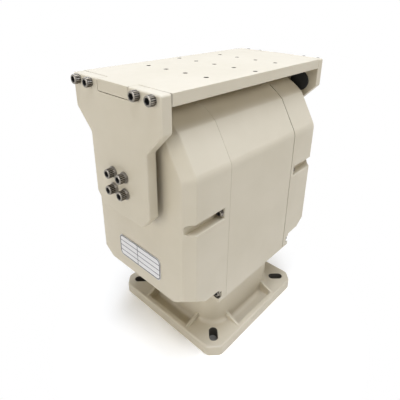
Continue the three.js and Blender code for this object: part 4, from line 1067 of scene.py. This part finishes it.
def make_floor():
    """A pale floor that fades to white away from the foot, with painted shade right under it."""
    size = FLOOR_SIZE / MM
    corners = [(x, y, 0) for x, y in rectangle(-size, -size, size, size)]
    floor = new_object("floor", corners, [[0, 1, 2, 3]])
    material = bpy.data.materials.new("floor")
    material.use_nodes = True
    tree = material.node_tree
    tree.nodes.clear()
    seen = seen_plainly(tree)
    diffuse = add(tree, "ShaderNodeBsdfDiffuse", {"Color": FLOOR_COLOUR}).outputs[0]
    strength = calculated(tree, "MULTIPLY", seen, FLOOR_LIFT)
    lift = add(tree, "ShaderNodeEmission", {"Strength": strength}).outputs[0]
    lit = add(tree, "ShaderNodeAddShader", {0: diffuse, 1: lift}).outputs[0]

    place, split = object_place(tree)
    across = [calculated(tree, "ABSOLUTE", split[axis]) for axis in "XY"]
    # Painted shade on the floor right under the foot, which shows through the slots
    edge = (FOOT_HALF - SLOT_WIDTH / 2) * MM
    square = calculated(tree, "LESS_THAN", calculated(tree, "MAXIMUM", *across), edge)
    diagonal = 2 * edge - FOOT_CHAMFER * MM
    facets = calculated(tree, "LESS_THAN", calculated(tree, "ADD", *across), diagonal)
    under = calculated(tree, "MULTIPLY", square, facets)
    dark = add(tree, "ShaderNodeBsdfDiffuse", {"Color": FLOOR_PAINTED_SHADE}).outputs[0]
    near = add(tree, "ShaderNodeMixShader", {0: under, 1: lit, 2: dark}).outputs[0]

    distance = add(tree, "ShaderNodeVectorMath", {0: place, 1: FLOOR_CENTRE}, operation="DISTANCE")
    inputs = {"Value": distance.outputs["Value"], "From Min": FLOOR_NEAR, "From Max": FLOOR_FAR}
    fade = add(tree, "ShaderNodeMapRange", inputs, interpolation_type="SMOOTHSTEP").outputs["Result"]
    far = add(tree, "ShaderNodeEmission", {"Strength": 1.0}).outputs[0]
    share = calculated(tree, "MULTIPLY", fade, seen)
    mix = add(tree, "ShaderNodeMixShader", {0: share, 1: near, 2: far}).outputs[0]
    add(tree, "ShaderNodeOutputMaterial", {"Surface": mix})
    floor.data.materials.append(material)


def make_world():
    world = bpy.data.worlds.new("studio")
    bpy.context.scene.world = world
    world.use_nodes = True
    tree = world.node_tree
    tree.nodes.clear()
    colour = mixed(tree, seen_plainly(tree), WORLD_LIGHT, WORLD_SEEN)
    back = add(tree, "ShaderNodeBackground", {"Color": colour})
    add(tree, "ShaderNodeOutputWorld", {"Surface": back.outputs[0]})


def area_light(name, place, target, width, height, power, colour):
    data = bpy.data.lights.new(name, "AREA")
    data.shape = "RECTANGLE"
    data.size, data.size_y = width, height
    data.energy = power
    data.color = colour
    lamp = bpy.data.objects.new(name, data)
    bpy.context.scene.collection.objects.link(lamp)
    lamp.location = place
    lamp.rotation_mode = "QUATERNION"
    lamp.rotation_quaternion = (Vector(target) - Vector(place)).to_track_quat("-Z", "Y")


def make_camera():
    azimuth, elevation, roll = (math.radians(angle) for angle in CAMERA_ANGLES)
    flat = math.cos(elevation)
    back = Vector((math.sin(azimuth) * flat, -math.cos(azimuth) * flat, math.sin(elevation)))
    right = (-back).cross(Vector((0, 0, 1))).normalized()
    down = (-back).cross(right)
    c, s = math.cos(roll), math.sin(roll)
    across = c * right + s * down
    below = -s * right + c * down
    data = bpy.data.cameras.new("camera")
    data.sensor_width = SENSOR
    data.lens = FOCAL_PX / IMAGE_PX * data.sensor_width
    data.shift_x = -SIDE_PX / IMAGE_PX
    data.shift_y = UP_PX / IMAGE_PX
    data.clip_start, data.clip_end = CAMERA_NEAR, CAMERA_FAR
    camera = bpy.data.objects.new("camera", data)
    bpy.context.scene.collection.objects.link(camera)
    spin = Matrix((across, -below, back)).transposed().to_4x4()
    camera.matrix_world = Matrix.Translation(Vector(CAMERA_PLACE) * MM) @ spin
    bpy.context.scene.camera = camera


make_camera()
make_base()
make_centre()
make_cover(-1, "left", TIGHT_SEAM)
make_cover(1, "right", OPEN_SEAM)
make_plate()
make_arm(-1, "left", None)
make_arm(1, "right", make_grommet())
make_inlet()
make_hubs()
make_screws()
make_label()
dress_inner_nodes()
make_floor()
make_world()
for name, lamp in LAMPS.items():
    area_light(name, *lamp)
bpy.context.scene.view_settings.view_transform = "Standard"
